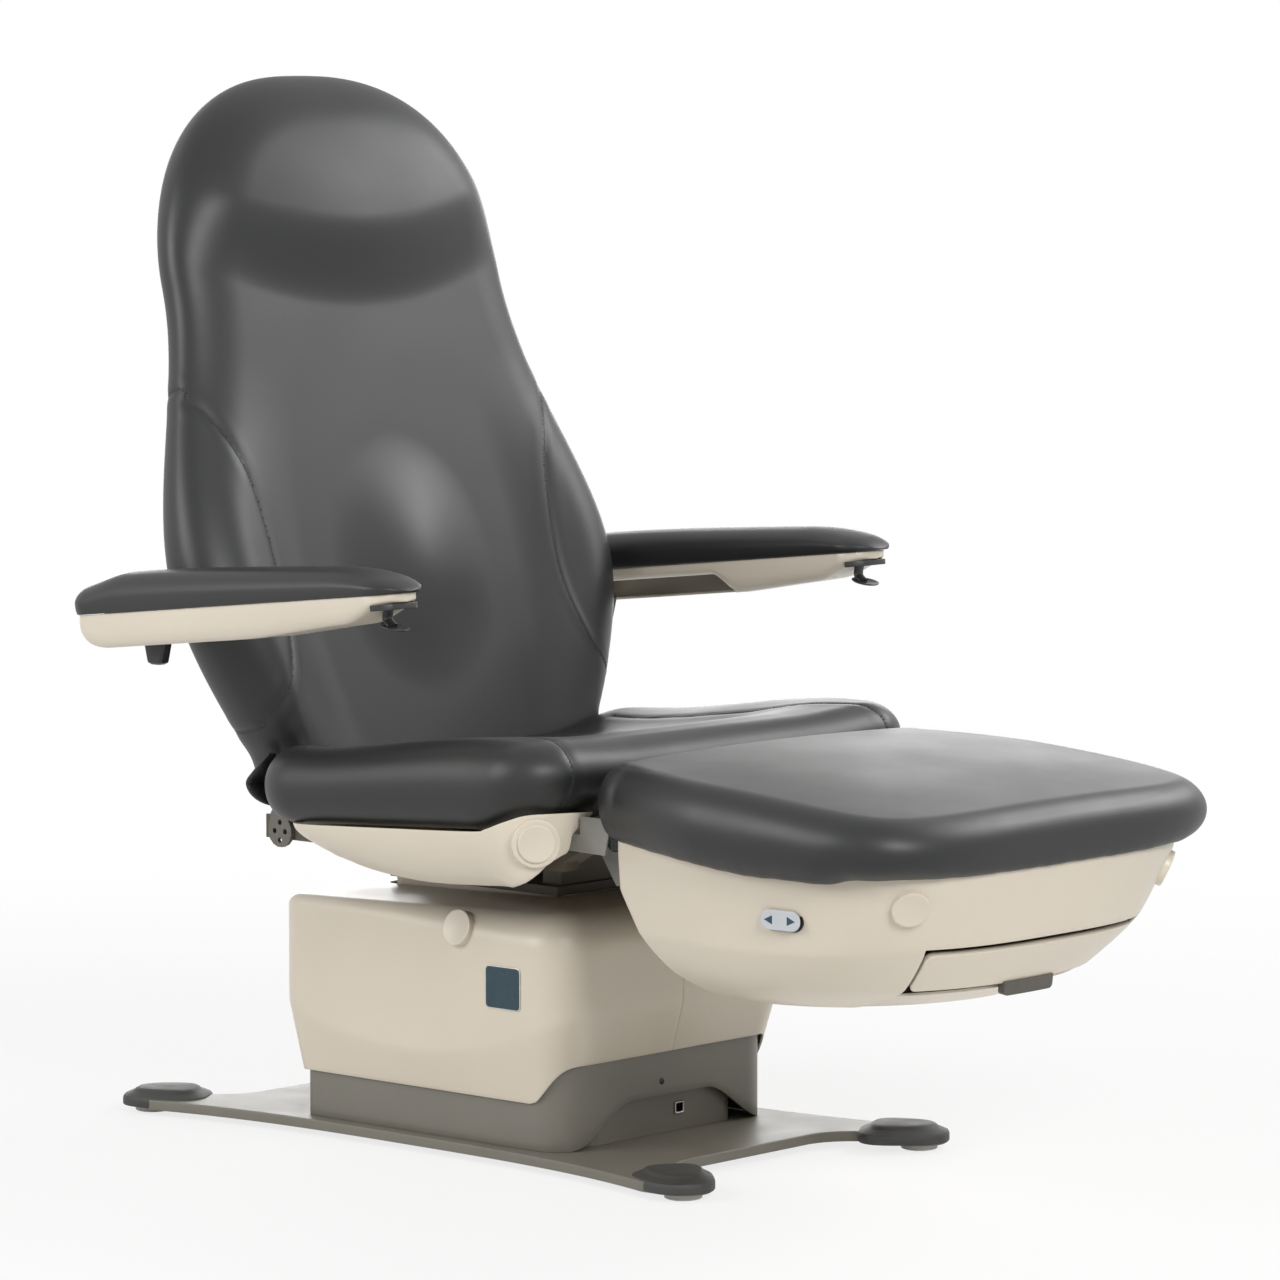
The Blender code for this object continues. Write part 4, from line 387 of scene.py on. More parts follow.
def socket_frame(name, node, face_sign):
    """A thin pressed frame round a socket's mouth: the loop of the mouth swept with a small half round."""
    low, high = (np.array(corner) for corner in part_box(node))
    middle, half = (low + high) / 2, (high - low) / 2
    face = (high[1] if face_sign > 0 else low[1]) - MIDDLE_Y
    rings = []
    for angle in np.radians(np.linspace(0, 180, 9)):
        shrink = PORT_FRAME / 2 * (1 + math.cos(angle))
        loop = round_box(half[0] - shrink, half[2] - shrink, PORT_CORNER)
        rings.append(raised(loop, face + face_sign * PORT_FRAME_PROUD * math.sin(angle)))
    on_face = space((middle[0], 0, middle[2]), (1, 0, 0), (0, 0, 1), (0, 1, 0))
    behind = (middle[0], face - face_sign * 0.05, middle[2])
    fit(surface(name, on_face(np.array(rings)), around=True, inside=behind), zinc, "base", "bright")


dress(taupe, "pedestal")
dress(black_plastic, "control_port", "power_inlet")
socket_frame("control_port_frame", "control_port", -1)
socket_frame("power_inlet_frame", "power_inlet", 1)

# Skirt
# A vacuum-formed skirt that stands on the plate inside the cover's lower edge. Its own lower edge sweeps
# up to an arch over the front, and a screw holds it beside the joint in its front.
COVER_HALF, COVER_FRONT, COVER_REAR = 0.2165, -0.257, 0.223
COVER_FRONT_RADIUS, COVER_REAR_RADIUS = 0.062, 0.03
COVER_FOOT_INSET, COVER_WALL = 0.018, 0.003
COVER_SIDE_Z, COVER_FRONT_Z = 0.078, 0.125
SKIRT_WALL, SKIRT_LAP, SKIRT_ARCH_Z = 0.003, 0.02, 0.071
SKIRT_GAP, SKIRT_STAND, SKIRT_RIM = 0.0006, 0.0003, 0.0007
ARCH_FRONT, ARCH_SIDE, ARCH_REACH = 0.03, 0.04, 0.11
INLET_ROOM = 0.0006
SCREW_X, SCREW_Z, SCREW_RADIUS = -0.015, 0.0888, 0.0042
COVER_STEPS = (30, 18, 40, 24)


def ease(value):
    """0 before 0, 1 after 1, and a smooth S between."""
    value = np.clip(value, 0.0, 1.0)
    return value * value * (3 - 2 * value)


def bump(distance):
    """1 at 0, falling smoothly to 0 at 1 and beyond."""
    return 1 - ease(np.abs(distance))


def half_loop(half, front, rear, front_radius, rear_radius, steps):
    """Half of a rounded rectangle, from the middle of its front round +X to the middle of its rear. steps
    counts the points on the front edge, on each corner, on the side and on the rear edge."""
    front_edge = np.linspace((0.0, front), (half - front_radius, front), steps[0] + 1)
    first = arc((half - front_radius, front + front_radius), front_radius, -90, 0, steps[1])
    side = np.linspace((half, front + front_radius), (half, rear - rear_radius), steps[2] + 1)
    second = arc((half - rear_radius, rear - rear_radius), rear_radius, 0, 90, steps[1])
    rear_edge = np.linspace((half - rear_radius, rear), (0.0, rear), steps[3] + 1)
    return np.concatenate([front_edge[:-1], first, side[1:-1], second, rear_edge[1:]])


def whole_loop(half):
    """A half loop and its mirror image, as one closed loop."""
    return np.concatenate([half, half[-2:0:-1] * (-1, 1)])


def cover_half_loop(shrink):
    return half_loop(COVER_HALF - shrink, COVER_FRONT + shrink, COVER_REAR - shrink,
                     COVER_FRONT_RADIUS - shrink / 2, COVER_REAR_RADIUS - shrink / 2, COVER_STEPS)


def front_share(loop, reach):
    """1 on the front edge of a loop and 0 on its side, with a smooth S round the front corner."""
    return ease((loop[:, 1].min() + reach - loop[:, 1]) / reach)


def cover_bottom(loop):
    return COVER_SIDE_Z + (COVER_FRONT_Z - COVER_SIDE_Z) * front_share(loop, COVER_FRONT_RADIUS)


def thicken(piece, wall, edge):
    """A wall inwards from the outer face, with its rims broken round."""
    solid = piece.modifiers.new("wall", "SOLIDIFY")
    solid.thickness = wall
    solid.offset = -1.0
    solid.use_even_offset = False
    rim = piece.modifiers.new("rim", "BEVEL")
    rim.width = edge
    rim.segments = 2
    rim.limit_method = "ANGLE"
    rim.angle_limit = math.radians(50)
    return piece


def skirt():
    """Upright rows between the swept lower edge and a top that hides behind the cover. The cells of the
    power inlet's mouth are left open."""
    inlet_low, inlet_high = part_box("power_inlet")
    loop = inset(whole_loop(cover_half_loop(COVER_FOOT_INSET)), COVER_WALL + SKIRT_GAP)
    mouth = inlet_high.x + INLET_ROOM
    rear = loop[:, 1] > loop[:, 1].max() - WELD
    column = np.argmin(np.where(rear, np.abs(np.abs(loop[:, 0]) - mouth), 1.0))
    matched = rear & (np.abs(np.abs(loop[:, 0]) - abs(loop[column, 0])) < WELD)
    loop[matched, 0] = np.sign(loop[matched, 0]) * mouth
    arch = front_share(loop, ARCH_FRONT) * ease((COVER_HALF - ARCH_SIDE - np.abs(loop[:, 0])) / ARCH_REACH)
    foot = PLATE_TOP + SKIRT_STAND
    low = foot + (SKIRT_ARCH_Z - PLATE_TOP) * arch
    top = cover_bottom(loop) + SKIRT_LAP
    mouth_z = np.array([inlet_low.z - INLET_ROOM, inlet_high.z + INLET_ROOM])
    mouth_shares = (mouth_z - foot) / (COVER_SIDE_Z + SKIRT_LAP - foot)
    shares = np.unique(np.concatenate([np.linspace(0, 1, 9), mouth_shares]))
    grid = np.array([raised(loop, low + (top - low) * share) for share in shares])
    middle_x = np.abs(loop[:, 0] + np.roll(loop[:, 0], -1)) / 2
    open_columns = rear & np.roll(rear, -1) & (middle_x < mouth)
    open_rows = (shares[:-1] >= mouth_shares[0]) & (shares[1:] <= mouth_shares[1])
    made = surface("skirt", grid, around=True, inside=(0, 0, 0.06), keep=~(open_rows[:, None] & open_columns))
    return thicken(made, SKIRT_WALL, SKIRT_RIM)


fit(skirt(), taupe, "base", "taupe", "base_skirt")
skirt_front = COVER_FRONT + COVER_FOOT_INSET + COVER_WALL + SKIRT_GAP
pan_head = ((-0.002, 0), (-0.002, 1), (0.0006, 1), (0.0013, 0.82), (0.0016, 0.5), (0.0005, 0.36), (0.0004, 0))
screw_profile = [(height, SCREW_RADIUS * share) for height, share in pan_head]
screw = turned("skirt_screw", (SCREW_X, skirt_front, SCREW_Z), (0, -1, 0), screw_profile, 32)
fit(screw, black_plastic, "base", "black")

# Base covers
# Two cream mouldings meet on the middle line and close round the column. A soft crease dips across each
# side, a round plug covers the fixing, and the right half carries a bare teal plate.
CREAM = (0.735, 0.662, 0.545)
COVER_TOP_REAR, COVER_TOP_FRONT = 0.299, 0.311
SHOULDER_REAR, SHOULDER_FRONT = 0.014, 0.046
CREASE_LOW, CREASE_RISE, CREASE_Y, CREASE_REACH, CREASE_SOFT = 0.127, 0.036, 0.005, 0.20, 0.0012
SPLIT_GAP = 0.0007
ROOF_RISE = 0.009
COLUMN_HALF, COLUMN_FRONT, COLUMN_REAR = 0.1185, -0.1585, 0.1385
COLUMN_RADIUS = 0.022
COVER_CAP_RADIUS, COVER_CAP_Y, COVER_CAP_Z = 0.0225, -0.083, 0.284
COVER_CAP_PROUD, COVER_CAP_DEPTH = 0.0045, 0.02
COVER_CAP_TILT, COVER_CAP_INSET = math.radians(17), 0.002
PLUG_SIDES, PLUG_EDGE, PLUG_DISH = 72, 0.0016, 0.0004
BADGE_Y, BADGE_Z, BADGE_GAP = -0.1595, 0.2185, 0.0003
BADGE_HALF_LENGTH, BADGE_HALF_HEIGHT, BADGE_CORNER, BADGE_THICK = 0.0275, 0.0250, 0.005, 0.0016
BADGE_RIM, BADGE_RIM_CORNER = 0.0011, 0.006
BADGE_TEAL = (0.013, 0.043, 0.062)
BRIGHT = (0.62, 0.62, 0.61)

cream = coated("cream_moulding", CREAM, (0.975, 1.01), (0.27, 0.36), 5.0,
               (1600.0, 0.0002, 0.05), (60.0, 0.0006, 0.03))


def cover_grid():
    """Half of the cover, from the raised rim round the column over the shoulder's quarter round and down
    the side. Below the crease the wall leans in, and the crease's height is a parabola along the side."""
    wide = cover_half_loop(0.0)
    opening = half_loop(COLUMN_HALF, COLUMN_FRONT, COLUMN_REAR, COLUMN_RADIUS, COLUMN_RADIUS, COVER_STEPS)
    share, rim_share = ((COVER_REAR - loop[:, 1]) / (COVER_REAR - COVER_FRONT) for loop in (wide, opening))
    top = COVER_TOP_REAR + (COVER_TOP_FRONT - COVER_TOP_REAR) * share
    shoulder = SHOULDER_REAR + (SHOULDER_FRONT - SHOULDER_REAR) * ease(share)
    rim = raised(opening, COVER_TOP_REAR + (COVER_TOP_FRONT - COVER_TOP_REAR) * rim_share + ROOF_RISE)
    roof = raised(inset(wide, shoulder, closed=False), top)
    rows = [rim + (roof - rim) * part for part in (0.0, 0.35, 0.7)]
    for angle in np.radians(np.linspace(0, 90, 13)):
        plan = inset(wide, shoulder * (1 - math.sin(angle)), closed=False)
        rows.append(raised(plan, top - shoulder * (1 - math.cos(angle))))
    bottom = cover_bottom(cover_half_loop(COVER_FOOT_INSET))
    crease = CREASE_LOW + CREASE_RISE * ((wide[:, 1] - CREASE_Y) / CREASE_REACH) ** 2
    start = top - shoulder
    for part in np.linspace(0, 1, 34)[1:]:
        height = start + (bottom - start) * part
        below = (crease - height) / (crease - bottom)
        lean = COVER_FOOT_INSET * (below + np.sqrt(below ** 2 + CREASE_SOFT)) / 2
        rows.append(raised(inset(wide, lean, closed=False), height))
    rows = np.array(rows)
    rows[:, :, 0] = np.maximum(rows[:, :, 0], SPLIT_GAP / 2)
    return rows


def round_rim(high, radius, edge, points):
    """A quarter round at the outer edge of a turned face."""
    bend = np.radians(np.linspace(0, 90, points))
    return [(high - edge + edge * math.sin(a), radius - edge + edge * math.cos(a)) for a in bend]


def plug(name, centre, face, depth, proud, radius):
    """A flat round plug with a shallow dished face and a rounded rim, set into a wall."""
    dish = proud - PLUG_DISH
    profile = [(-depth, 0), (-depth, radius), *round_rim(proud, radius, PLUG_EDGE, 6), (proud, radius * 0.86),
               (dish, radius * 0.8), (dish, 0)]
    return turned(name, centre, face, profile, PLUG_SIDES)


for side_name, side in SIDES:
    half_cover = surface("cover_" + side_name, cover_grid() * (side, 1, 1), inside=(0, 0, 0.12), sharp=60)
    fit(thicken(half_cover, COVER_WALL, 0.0007), cream, "base", "cream", "base_cover_" + side_name)
    face = (side * math.cos(COVER_CAP_TILT), 0.0, math.sin(COVER_CAP_TILT))
    centre = (side * (COVER_HALF - COVER_CAP_INSET), COVER_CAP_Y, COVER_CAP_Z)
    cover_plug = plug("cover_plug_" + side_name, centre, face, COVER_CAP_DEPTH, COVER_CAP_PROUD,
                      COVER_CAP_RADIUS)
    fit(cover_plug, cream, "base", "cream", "base_cover_cap_" + side_name)

teal = coated("badge_teal", BADGE_TEAL, (0.9, 1.1), (0.2, 0.3), 50.0, (900.0, 0.0002, 0.03))
bright_metal = coated("bright_metal", BRIGHT, (0.887, 1.097), (0.18, 0.3), 70.0, (500.0, 0.0002, 0.05),
                      metallic=1.0)
on_right_cover = space((-COVER_HALF - BADGE_GAP, BADGE_Y, BADGE_Z), (0, -1, 0), (0, 0, 1), (-1, 0, 0))
badge_loop = round_box(BADGE_HALF_LENGTH, BADGE_HALF_HEIGHT, BADGE_CORNER)
badge = slab("badge_bare", badge_loop, 0.0, BADGE_THICK, 0.0006, on_right_cover)
fit(badge, teal, "base", "badge", "badge_plate")
rim_loop = round_box(BADGE_HALF_LENGTH + BADGE_RIM, BADGE_HALF_HEIGHT + BADGE_RIM, BADGE_RIM_CORNER)
badge_rim = slab("badge_rim", rim_loop, 0.0, BADGE_RIM, 0.0004, on_right_cover)
fit(badge_rim, bright_metal, "base", "bright")

# Lift column and its drives
# Square steel tubes slide in each other under the head, with the tilt axle above. Motors and gear heads
# are black, two of the tubes are zinc plated, and the middle tube is painted cream like the covers.
dress(zinc, "lift_column_outer", "lift_column_inner")
dress(cream, "lift_column_middle")
dress(black_plastic, "lift_motor", "tilt_drive", "back_drive", "foot_drive", "control_box")
dress(bright_metal, "tilt_axle", "back_hinge_pin")

# Seat frame and brackets
# Welded steel rails under a sheet and the head below them get a dark umber, a painted shade that stands
# in for the shadow under the seat. The drilled plates at the rear are painted a lighter umber. Cheeks, arms
# and the back frame are grey, and plywood carries the cushions.
GREY_PAINT = (0.27, 0.265, 0.24)
UMBER, PAINTED_SHADE_UMBER = (0.150, 0.138, 0.118), (0.085, 0.068, 0.047)
CHEEK_FACE, CHEEK_THICK = 0.2668, 0.003
CHEEK_OUTLINE = ((-0.300, 0.404), (-0.372, 0.402), (-0.378, 0.426), (-0.370, 0.4455), (-0.333, 0.4455),
                 (-0.333, 0.424), (-0.300, 0.424))
PLYWOOD = (0.40, 0.29, 0.18)
PAINT_GRAIN = (1000.0, 0.0003, 0.12)

grey_paint = coated("frame_grey_paint", GREY_PAINT, (0.93, 1.05), (0.36, 0.5), 20.0, PAINT_GRAIN)
umber_paint = coated("frame_umber_paint", UMBER, (0.93, 1.06), (0.4, 0.5), 20.0, PAINT_GRAIN)
# A dark umber that paints in the shade falling under the seat, for the frame and the lift head
painted_shade_paint = coated("frame_painted_shade", PAINTED_SHADE_UMBER, (0.9, 1.1), (0.45, 0.55), 20.0, PAINT_GRAIN)
dress(grey_paint, "back_frame", "arm_bracket_right", "arm_bracket_left")
dress(grey_paint, "foot_arm_right", "foot_arm_left", "foot_axle")
dress(umber_paint, "rear_bracket_right", "rear_bracket_left")
# The seat frame and the lift head take the painted shade
dress(painted_shade_paint, "seat_frame", "lift_head")
plywood = shade("plywood", PLYWOOD, 0.6)
tree = plywood.node_tree
place = add_node(tree, "ShaderNodeTexCoord").outputs["Object"]
stretched = add_node(tree, "ShaderNodeMapping", Vector=place, Scale=(1.0, 12.0, 40.0)).outputs["Vector"]
grain = add_node(tree, "ShaderNodeTexNoise", Vector=stretched, Scale=7.0, Detail=6.0).outputs["Fac"]
ramp = add_node(tree, "ShaderNodeValToRGB", Fac=grain)
for stop, share in zip(ramp.color_ramp.elements, (0.65, 1.15)):
    stop.color = (*tint(PLYWOOD, share), 1.0)
tree.links.new(ramp.outputs["Color"], tree.nodes["Principled BSDF"].inputs["Base Color"])
dress(plywood, "seat_board")


def along_edges(corners, steps):
    """Evenly spaced points along the straight edges of a closed outline."""
    ends = np.roll(corners, -1, axis=0)
    return np.concatenate([np.linspace(a, b, steps, endpoint=False) for a, b in zip(corners, ends)])


for side_name, side in SIDES:
    on_cheek = space((0, 0, 0), (0, 1, 0), (0, 0, 1), (side, 0, 0))
    outline = along_edges(np.array(CHEEK_OUTLINE)[::side], 10)
    cheek = slab("hinge_cheek_" + side_name, outline, CHEEK_FACE, CHEEK_FACE + CHEEK_THICK, 0.0006, on_cheek)
    fit(cheek, grey_paint, "seat", "steel")

# Seat side covers
# A cream boat-shaped moulding hangs under each side of the seat cushion. Its rim follows the cushion round
# the front corner and ends in a pointed horn, and a plug on a raised boss hides the foot pivot there.
SIDE_FACE, SIDE_CORNER_Y, SIDE_CORNER_RADIUS = 0.348, -0.265, 0.062
SIDE_REAR_END, SIDE_FRONT_END = (0.318, 0.095), (0.245, -0.3313)
SIDE_TUCK, SIDE_CORNER_TUCK = 0.056, 0.010
SIDE_WALL = 0.003
SIDE_RIM = ((0.0, 0.408), (0.093, 0.413), (0.209, 0.419), (0.334, 0.426), (0.358, 0.431), (0.385, 0.441),
            (0.413, 0.4495), (0.452, 0.4505), (0.5063, 0.4478))
SIDE_KEEL = ((0.0, 0.404), (0.025, 0.394), (0.053, 0.383), (0.093, 0.367), (0.136, 0.357), (0.209, 0.351),
             (0.291, 0.3535), (0.373, 0.3600), (0.406, 0.3670), (0.429, 0.3795), (0.444, 0.3905),
             (0.4655, 0.3985), (0.4745, 0.4030), (0.4768, 0.4195), (0.489, 0.4325), (0.5063, 0.4462))
SIDE_LENGTH, SIDE_THIN, SIDE_FULL_DEPTH = SIDE_RIM[-1][0], 0.0012, 0.05
SIDE_TUCK_END, SIDE_TUCK_BLEND = 0.33, 0.09
BOSS_ALONG, BOSS_Z = 0.4242, 0.417
BOSS_RADIUS, BOSS_PROUD, BOSS_DEPTH, BOSS_EDGE = 0.0290, 0.0035, 0.012, 0.002
PIVOT_PLUG_RADIUS, PIVOT_PLUG_PROUD, PIVOT_PLUG_DEPTH = 0.0226, 0.0075, 0.008


def distances(curve):
    """How far along a curve each of its points lies."""
    return np.concatenate([[0], np.cumsum(np.linalg.norm(np.diff(curve, axis=0), axis=1))])


def values_at(along, run, values):
    """Each column of values at a distance along a curve."""
    return np.stack([np.interp(along, run, column) for column in values.T], axis=-1)


def evenly(curve, spacing):
    """The same curve with evenly spaced points along it."""
    run = distances(curve)
    return values_at(np.linspace(0, run[-1], max(8, int(run[-1] / spacing))), run, curve)


def smooth_path(points, spacing):
    """A curve through given points (Catmull-Rom), with evenly spaced points along it."""
    points = np.asarray(points, float)
    ends = np.concatenate([[2 * points[0] - points[1]], points, [2 * points[-1] - points[-2]]])
    t = np.linspace(0, 1, 40, endpoint=False)[:, None]
    spans = []
    for a, b, c, d in zip(ends, ends[1:], ends[2:], ends[3:]):
        spans.append(b + 0.5 * t * (c - a + t * (2 * a - 5 * b + 4 * c - d + t * (3 * (b - c) + d - a))))
    return evenly(np.concatenate([*spans, points[-1:]]), spacing)


def unit(vectors):
    return vectors / np.maximum(np.linalg.norm(vectors, axis=-1, keepdims=True), 1e-12)


def side_path(along):
    """Plan of the rim at a distance from its rear end, and the direction into the seat there: a bent rear
    end, the straight side, the corner's quarter circle and the straight horn."""
    rear = smooth_path((SIDE_REAR_END, (0.335, 0.075), (0.344, 0.05), (SIDE_FACE, 0.02)), 0.002)
    middle = (SIDE_FACE - SIDE_CORNER_RADIUS, SIDE_CORNER_Y)
    corner = arc(middle, SIDE_CORNER_RADIUS, 0, -90, 60)
    path = evenly(np.concatenate([rear, corner, [SIDE_FRONT_END]]), 0.001)
    run = distances(path)
    course = unit(np.gradient(path, axis=0))
    inward = np.column_stack([course[:, 1], -course[:, 0]])
    return values_at(along, run, path), values_at(along, run, inward)


def height_along(points, along):
    """Height at a distance, on a smooth curve through given (distance, height) points."""
    curve = smooth_path(points, 0.0008)
    return np.interp(along, curve[:, 0], curve[:, 1])


def side_cover_grid():
    """Rows from the rim down to the keel, columns from rear to front. Each cross section is a quarter of an
    ellipse that tucks in under the seat; it stays upright round the front corner."""
    along = np.concatenate([np.linspace(0, 0.40, 90), np.linspace(0.40, 0.47, 40)[1:],
                            np.linspace(0.47, 0.48, 16)[1:], np.linspace(0.48, SIDE_LENGTH, 20)[1:]])
    place, inward = side_path(along)
    rim, keel = height_along(SIDE_RIM, along), height_along(SIDE_KEEL, along)
    depth = np.maximum(rim - keel, SIDE_THIN)
    corner_share = ease((along - SIDE_TUCK_END) / SIDE_TUCK_BLEND)
    tuck = SIDE_TUCK + (SIDE_CORNER_TUCK - SIDE_TUCK) * corner_share
    tuck = tuck * np.minimum(1, depth / SIDE_FULL_DEPTH)
    level = np.linspace(0, math.pi / 2, 30)[:, None]
    plan = place[None] + inward[None] * (tuck * (1 - np.cos(level)))[..., None]
    return np.concatenate([plan, (rim - depth * np.sin(level))[..., None]], axis=-1)


for side_name, side in SIDES:
    skin_grid = side_cover_grid() * (side, 1, 1)
    skin = surface("seat_skin_" + side_name, skin_grid, inside=(0, -0.1, 0.47), sharp=60)
    fit(thicken(skin, SIDE_WALL, 0.0008), cream, "seat", "cream", "seat_side_cover_" + side_name)
    place, inward = side_path(np.array(BOSS_ALONG))
    axis = np.array([-inward[0] * side, -inward[1], 0.0])
    centre = np.array([place[0] * side, place[1], BOSS_Z])
    rim = round_rim(BOSS_PROUD, BOSS_RADIUS, BOSS_EDGE, 7)
    boss_profile = [(-BOSS_DEPTH, BOSS_RADIUS), *rim, (BOSS_PROUD, PIVOT_PLUG_RADIUS)]
    boss = turned("pivot_boss_" + side_name, centre, axis, boss_profile, PLUG_SIDES)
    fit(boss, cream, "seat", "cream")
    pivot_plug = plug("pivot_plug_" + side_name, centre, axis, PIVOT_PLUG_DEPTH, PIVOT_PLUG_PROUD,
                      PIVOT_PLUG_RADIUS)
    fit(pivot_plug, cream, "seat", "cream", "pivot_cap_" + side_name)

# Seat cushion
# Moulded foam on a plywood board, covered in charcoal vinyl. A seam with a row of stitches parts each side
# bolster from the middle, runs over the front roll and down to the hem.
CHARCOAL = (0.0120, 0.0126, 0.0124)
SEAT_HALF, SEAT_FRONT, SEAT_REAR = 0.36, -0.341, 0.148
SEAT_FRONT_RADIUS, SEAT_REAR_RADIUS = 0.072, 0.080
BOLSTER_TOP, BOLSTER_FALL, BOLSTER_FALL_Y, BOLSTER_FALL_LENGTH = 0.5335, 0.034, -0.26, 0.36
SEAT_DISH, SEAT_DISH_Y, SEAT_DISH_LENGTH, SEAT_DIP = 0.016, -0.27, 0.13, 0.006
SEAT_DISH_SHARE, SEAT_DISH_BLEND = 0.45, 0.4
SEAT_EDGE, SEAT_LOW_EDGE = 0.046, 0.036
CUSHION_LOW, SEAT_STEP, SEAT_STEP_Y, SEAT_STEP_LENGTH = 0.4189, 0.038, -0.285, 0.14
HEM_Z, HEM_SLOPE, HEM_STEP, HEM_STEP_Y, HEM_STEP_LENGTH = 0.4132, 0.0555, 0.021, -0.225, 0.085
HEM_START_X, HEM_BLEND, HEM_SLOPE_Y = 0.28, 0.05, 0.01
SEAM_DEPTH, SEAM_WIDTH = 0.0013, 0.0036
PUFF_HEIGHT, PUFF_AWAY, PUFF_WIDTH = 0.0004, 0.014, 0.008
SEAM_LINE, SEAM_LINE_PITCH = 0.0006, 0.003
STITCH_PITCH, STITCH_LENGTH, STITCH_THICK = 0.0052, 0.0036, 0.0009
STITCH_BESIDE = 0.0024
THREAD = (0.020, 0.021, 0.021)
SEAT_SEAM = ((0.252, 0.085), (0.246, 0.0), (0.238, -0.11), (0.241, -0.195), (0.262, -0.255), (0.281, -0.305),
             (0.289, -0.338))

vinyl = coated("charcoal_vinyl", CHARCOAL, (0.92, 1.08), (0.40, 0.47), 6.0,
               (70.0, 0.0012, 0.05), (420.0, 0.0004, 0.12), (1400.0, 0.0003, 0.14))
thread = coated("seam_thread", THREAD, (0.8, 1.3), (0.55, 0.7), 300.0, (2500.0, 0.0002, 0.2))


def between(plan, share, low, high):
    """Points over a plan, at a share of the way from a cushion's underside to its top."""
    floor_height = low(plan[:, 0], plan[:, 1])
    return np.column_stack([plan, floor_height + share * (high(plan[:, 0], plan[:, 1]) - floor_height)])


def cushion_grid(loop, edge, low_edge, low, high, edge_steps, top_steps):
    """Rings of a stuffed form over a plan loop: a flat underside, a round lower and upper edge, and a
    crowned top that runs in to the middle. Columns are plan, plan, height."""
    middle = (loop.max(axis=0) + loop.min(axis=0)) / 2
    under, inner = inset(loop, low_edge), inset(loop, edge)
    rings = [between(middle + (under - middle) * scale, 0.0, low, high) for scale in (0.0, 0.4, 0.75, 0.93)]
    for angle in np.radians(np.linspace(-90, 90, edge_steps + 1)):
        width = low_edge if angle < 0 else edge
        plan = inset(loop, width * (1 - math.cos(angle)))
        rings.append(between(plan, (1 + math.sin(angle)) / 2, low, high))
    for scale in np.linspace(1, 0, top_steps + 1)[1:]:
        rings.append(between(middle + (inner - middle) * scale, 1.0, low, high))
    return np.array(rings)


def grid_normals(grid):
    """Unit normals of a closed grid of rings: the cross product of its two directions, looking out."""
    around = np.roll(grid, -1, axis=1) - np.roll(grid, 1, axis=1)
    return unit(np.cross(around, np.gradient(grid, axis=0)))


def nearest(points, path):
    """Distance from each point to the nearest point of a path, and that point's number."""
    best = np.full(points.shape[:-1], 1e9)
    number = np.zeros(points.shape[:-1], int)
    for order, stop in enumerate(path):
        apart = ((points - stop) ** 2).sum(axis=-1)
        closer = apart < best
        best = np.where(closer, apart, best)
        number = np.where(closer, order, number)
    return np.sqrt(best), number


def seam_on_cushion(plan_path, loop, edge, low_edge, low, high, ends):
    """A seam laid over a cushion: over the top its height comes from the distance to the plan loop. At the
    ends that are named it turns down the side to the hem."""
    apart, number = nearest(plan_path, loop)
    angle = np.arccos(np.clip(1 - apart / edge, 0, 1))
    inward = inset(loop, 1.0) - loop

    def down(end):
        """From the widest line to the hem, at the end's place on the loop."""
        turns = np.radians(np.linspace(0, -75, 26)[1:])
        plan = loop[number[end]] + np.outer(low_edge * (1 - np.cos(turns)), inward[number[end]])
        return between(plan, (1 + np.sin(turns)) / 2, low, high)

    parts = [down(0)[::-1]] if 0 in ends else []
    parts += [between(plan_path, (1 + np.sin(angle)) / 2, low, high)]
    parts += [down(-1)] if -1 in ends else []
    return smooth_path(np.concatenate(parts)[::4], 0.002)


def sew(grid, paths):
    """Draws a seam's valley into a cushion and puffs up the vinyl beside it."""
    normals = grid_normals(grid)
    for path in paths:
        apart, _ = nearest(grid, path)
        valley = -SEAM_DEPTH * np.exp(-(apart / SEAM_WIDTH) ** 2)
        puff = PUFF_HEIGHT * np.exp(-((apart - PUFF_AWAY) / PUFF_WIDTH) ** 2)
        grid = grid + normals * (valley + puff)[..., None]
    return grid


def beads(name, centres, along, beside, up):
    """Small spindles, one at each centre, whose long axis lies along the seam. Their rings are one long
    grid, and the cells from one spindle to the next are left out."""
    polar = np.linspace(0, math.pi, 7)[:, None]
    turn = np.linspace(0, 2 * math.pi, 6, endpoint=False)
    ball = [np.cos(polar) + 0 * turn, np.sin(polar) * np.cos(turn), np.sin(polar) * np.sin(turn)]
    shape = np.stack(ball, axis=-1) * (STITCH_LENGTH / 2, STITCH_THICK / 2, STITCH_THICK / 2)
    axes = np.stack([along, beside, up], axis=1)
    points = centres[:, None, None, :] + np.einsum("rck,nkd->nrcd", shape, axes)
    count, rows, columns = points.shape[:3]
    same_spindle = np.arange(1, count * rows) % rows > 0
    keep = np.repeat(same_spindle[:, None], columns, axis=1)
    return surface(name, points.reshape(-1, columns, 3), around=True, keep=keep, sharp=180)


def closest_rows(points, flat):
    """For each point, the number of the closest point of a long list."""
    return np.array([int(((flat - point) ** 2).sum(axis=1).argmin()) for point in points])


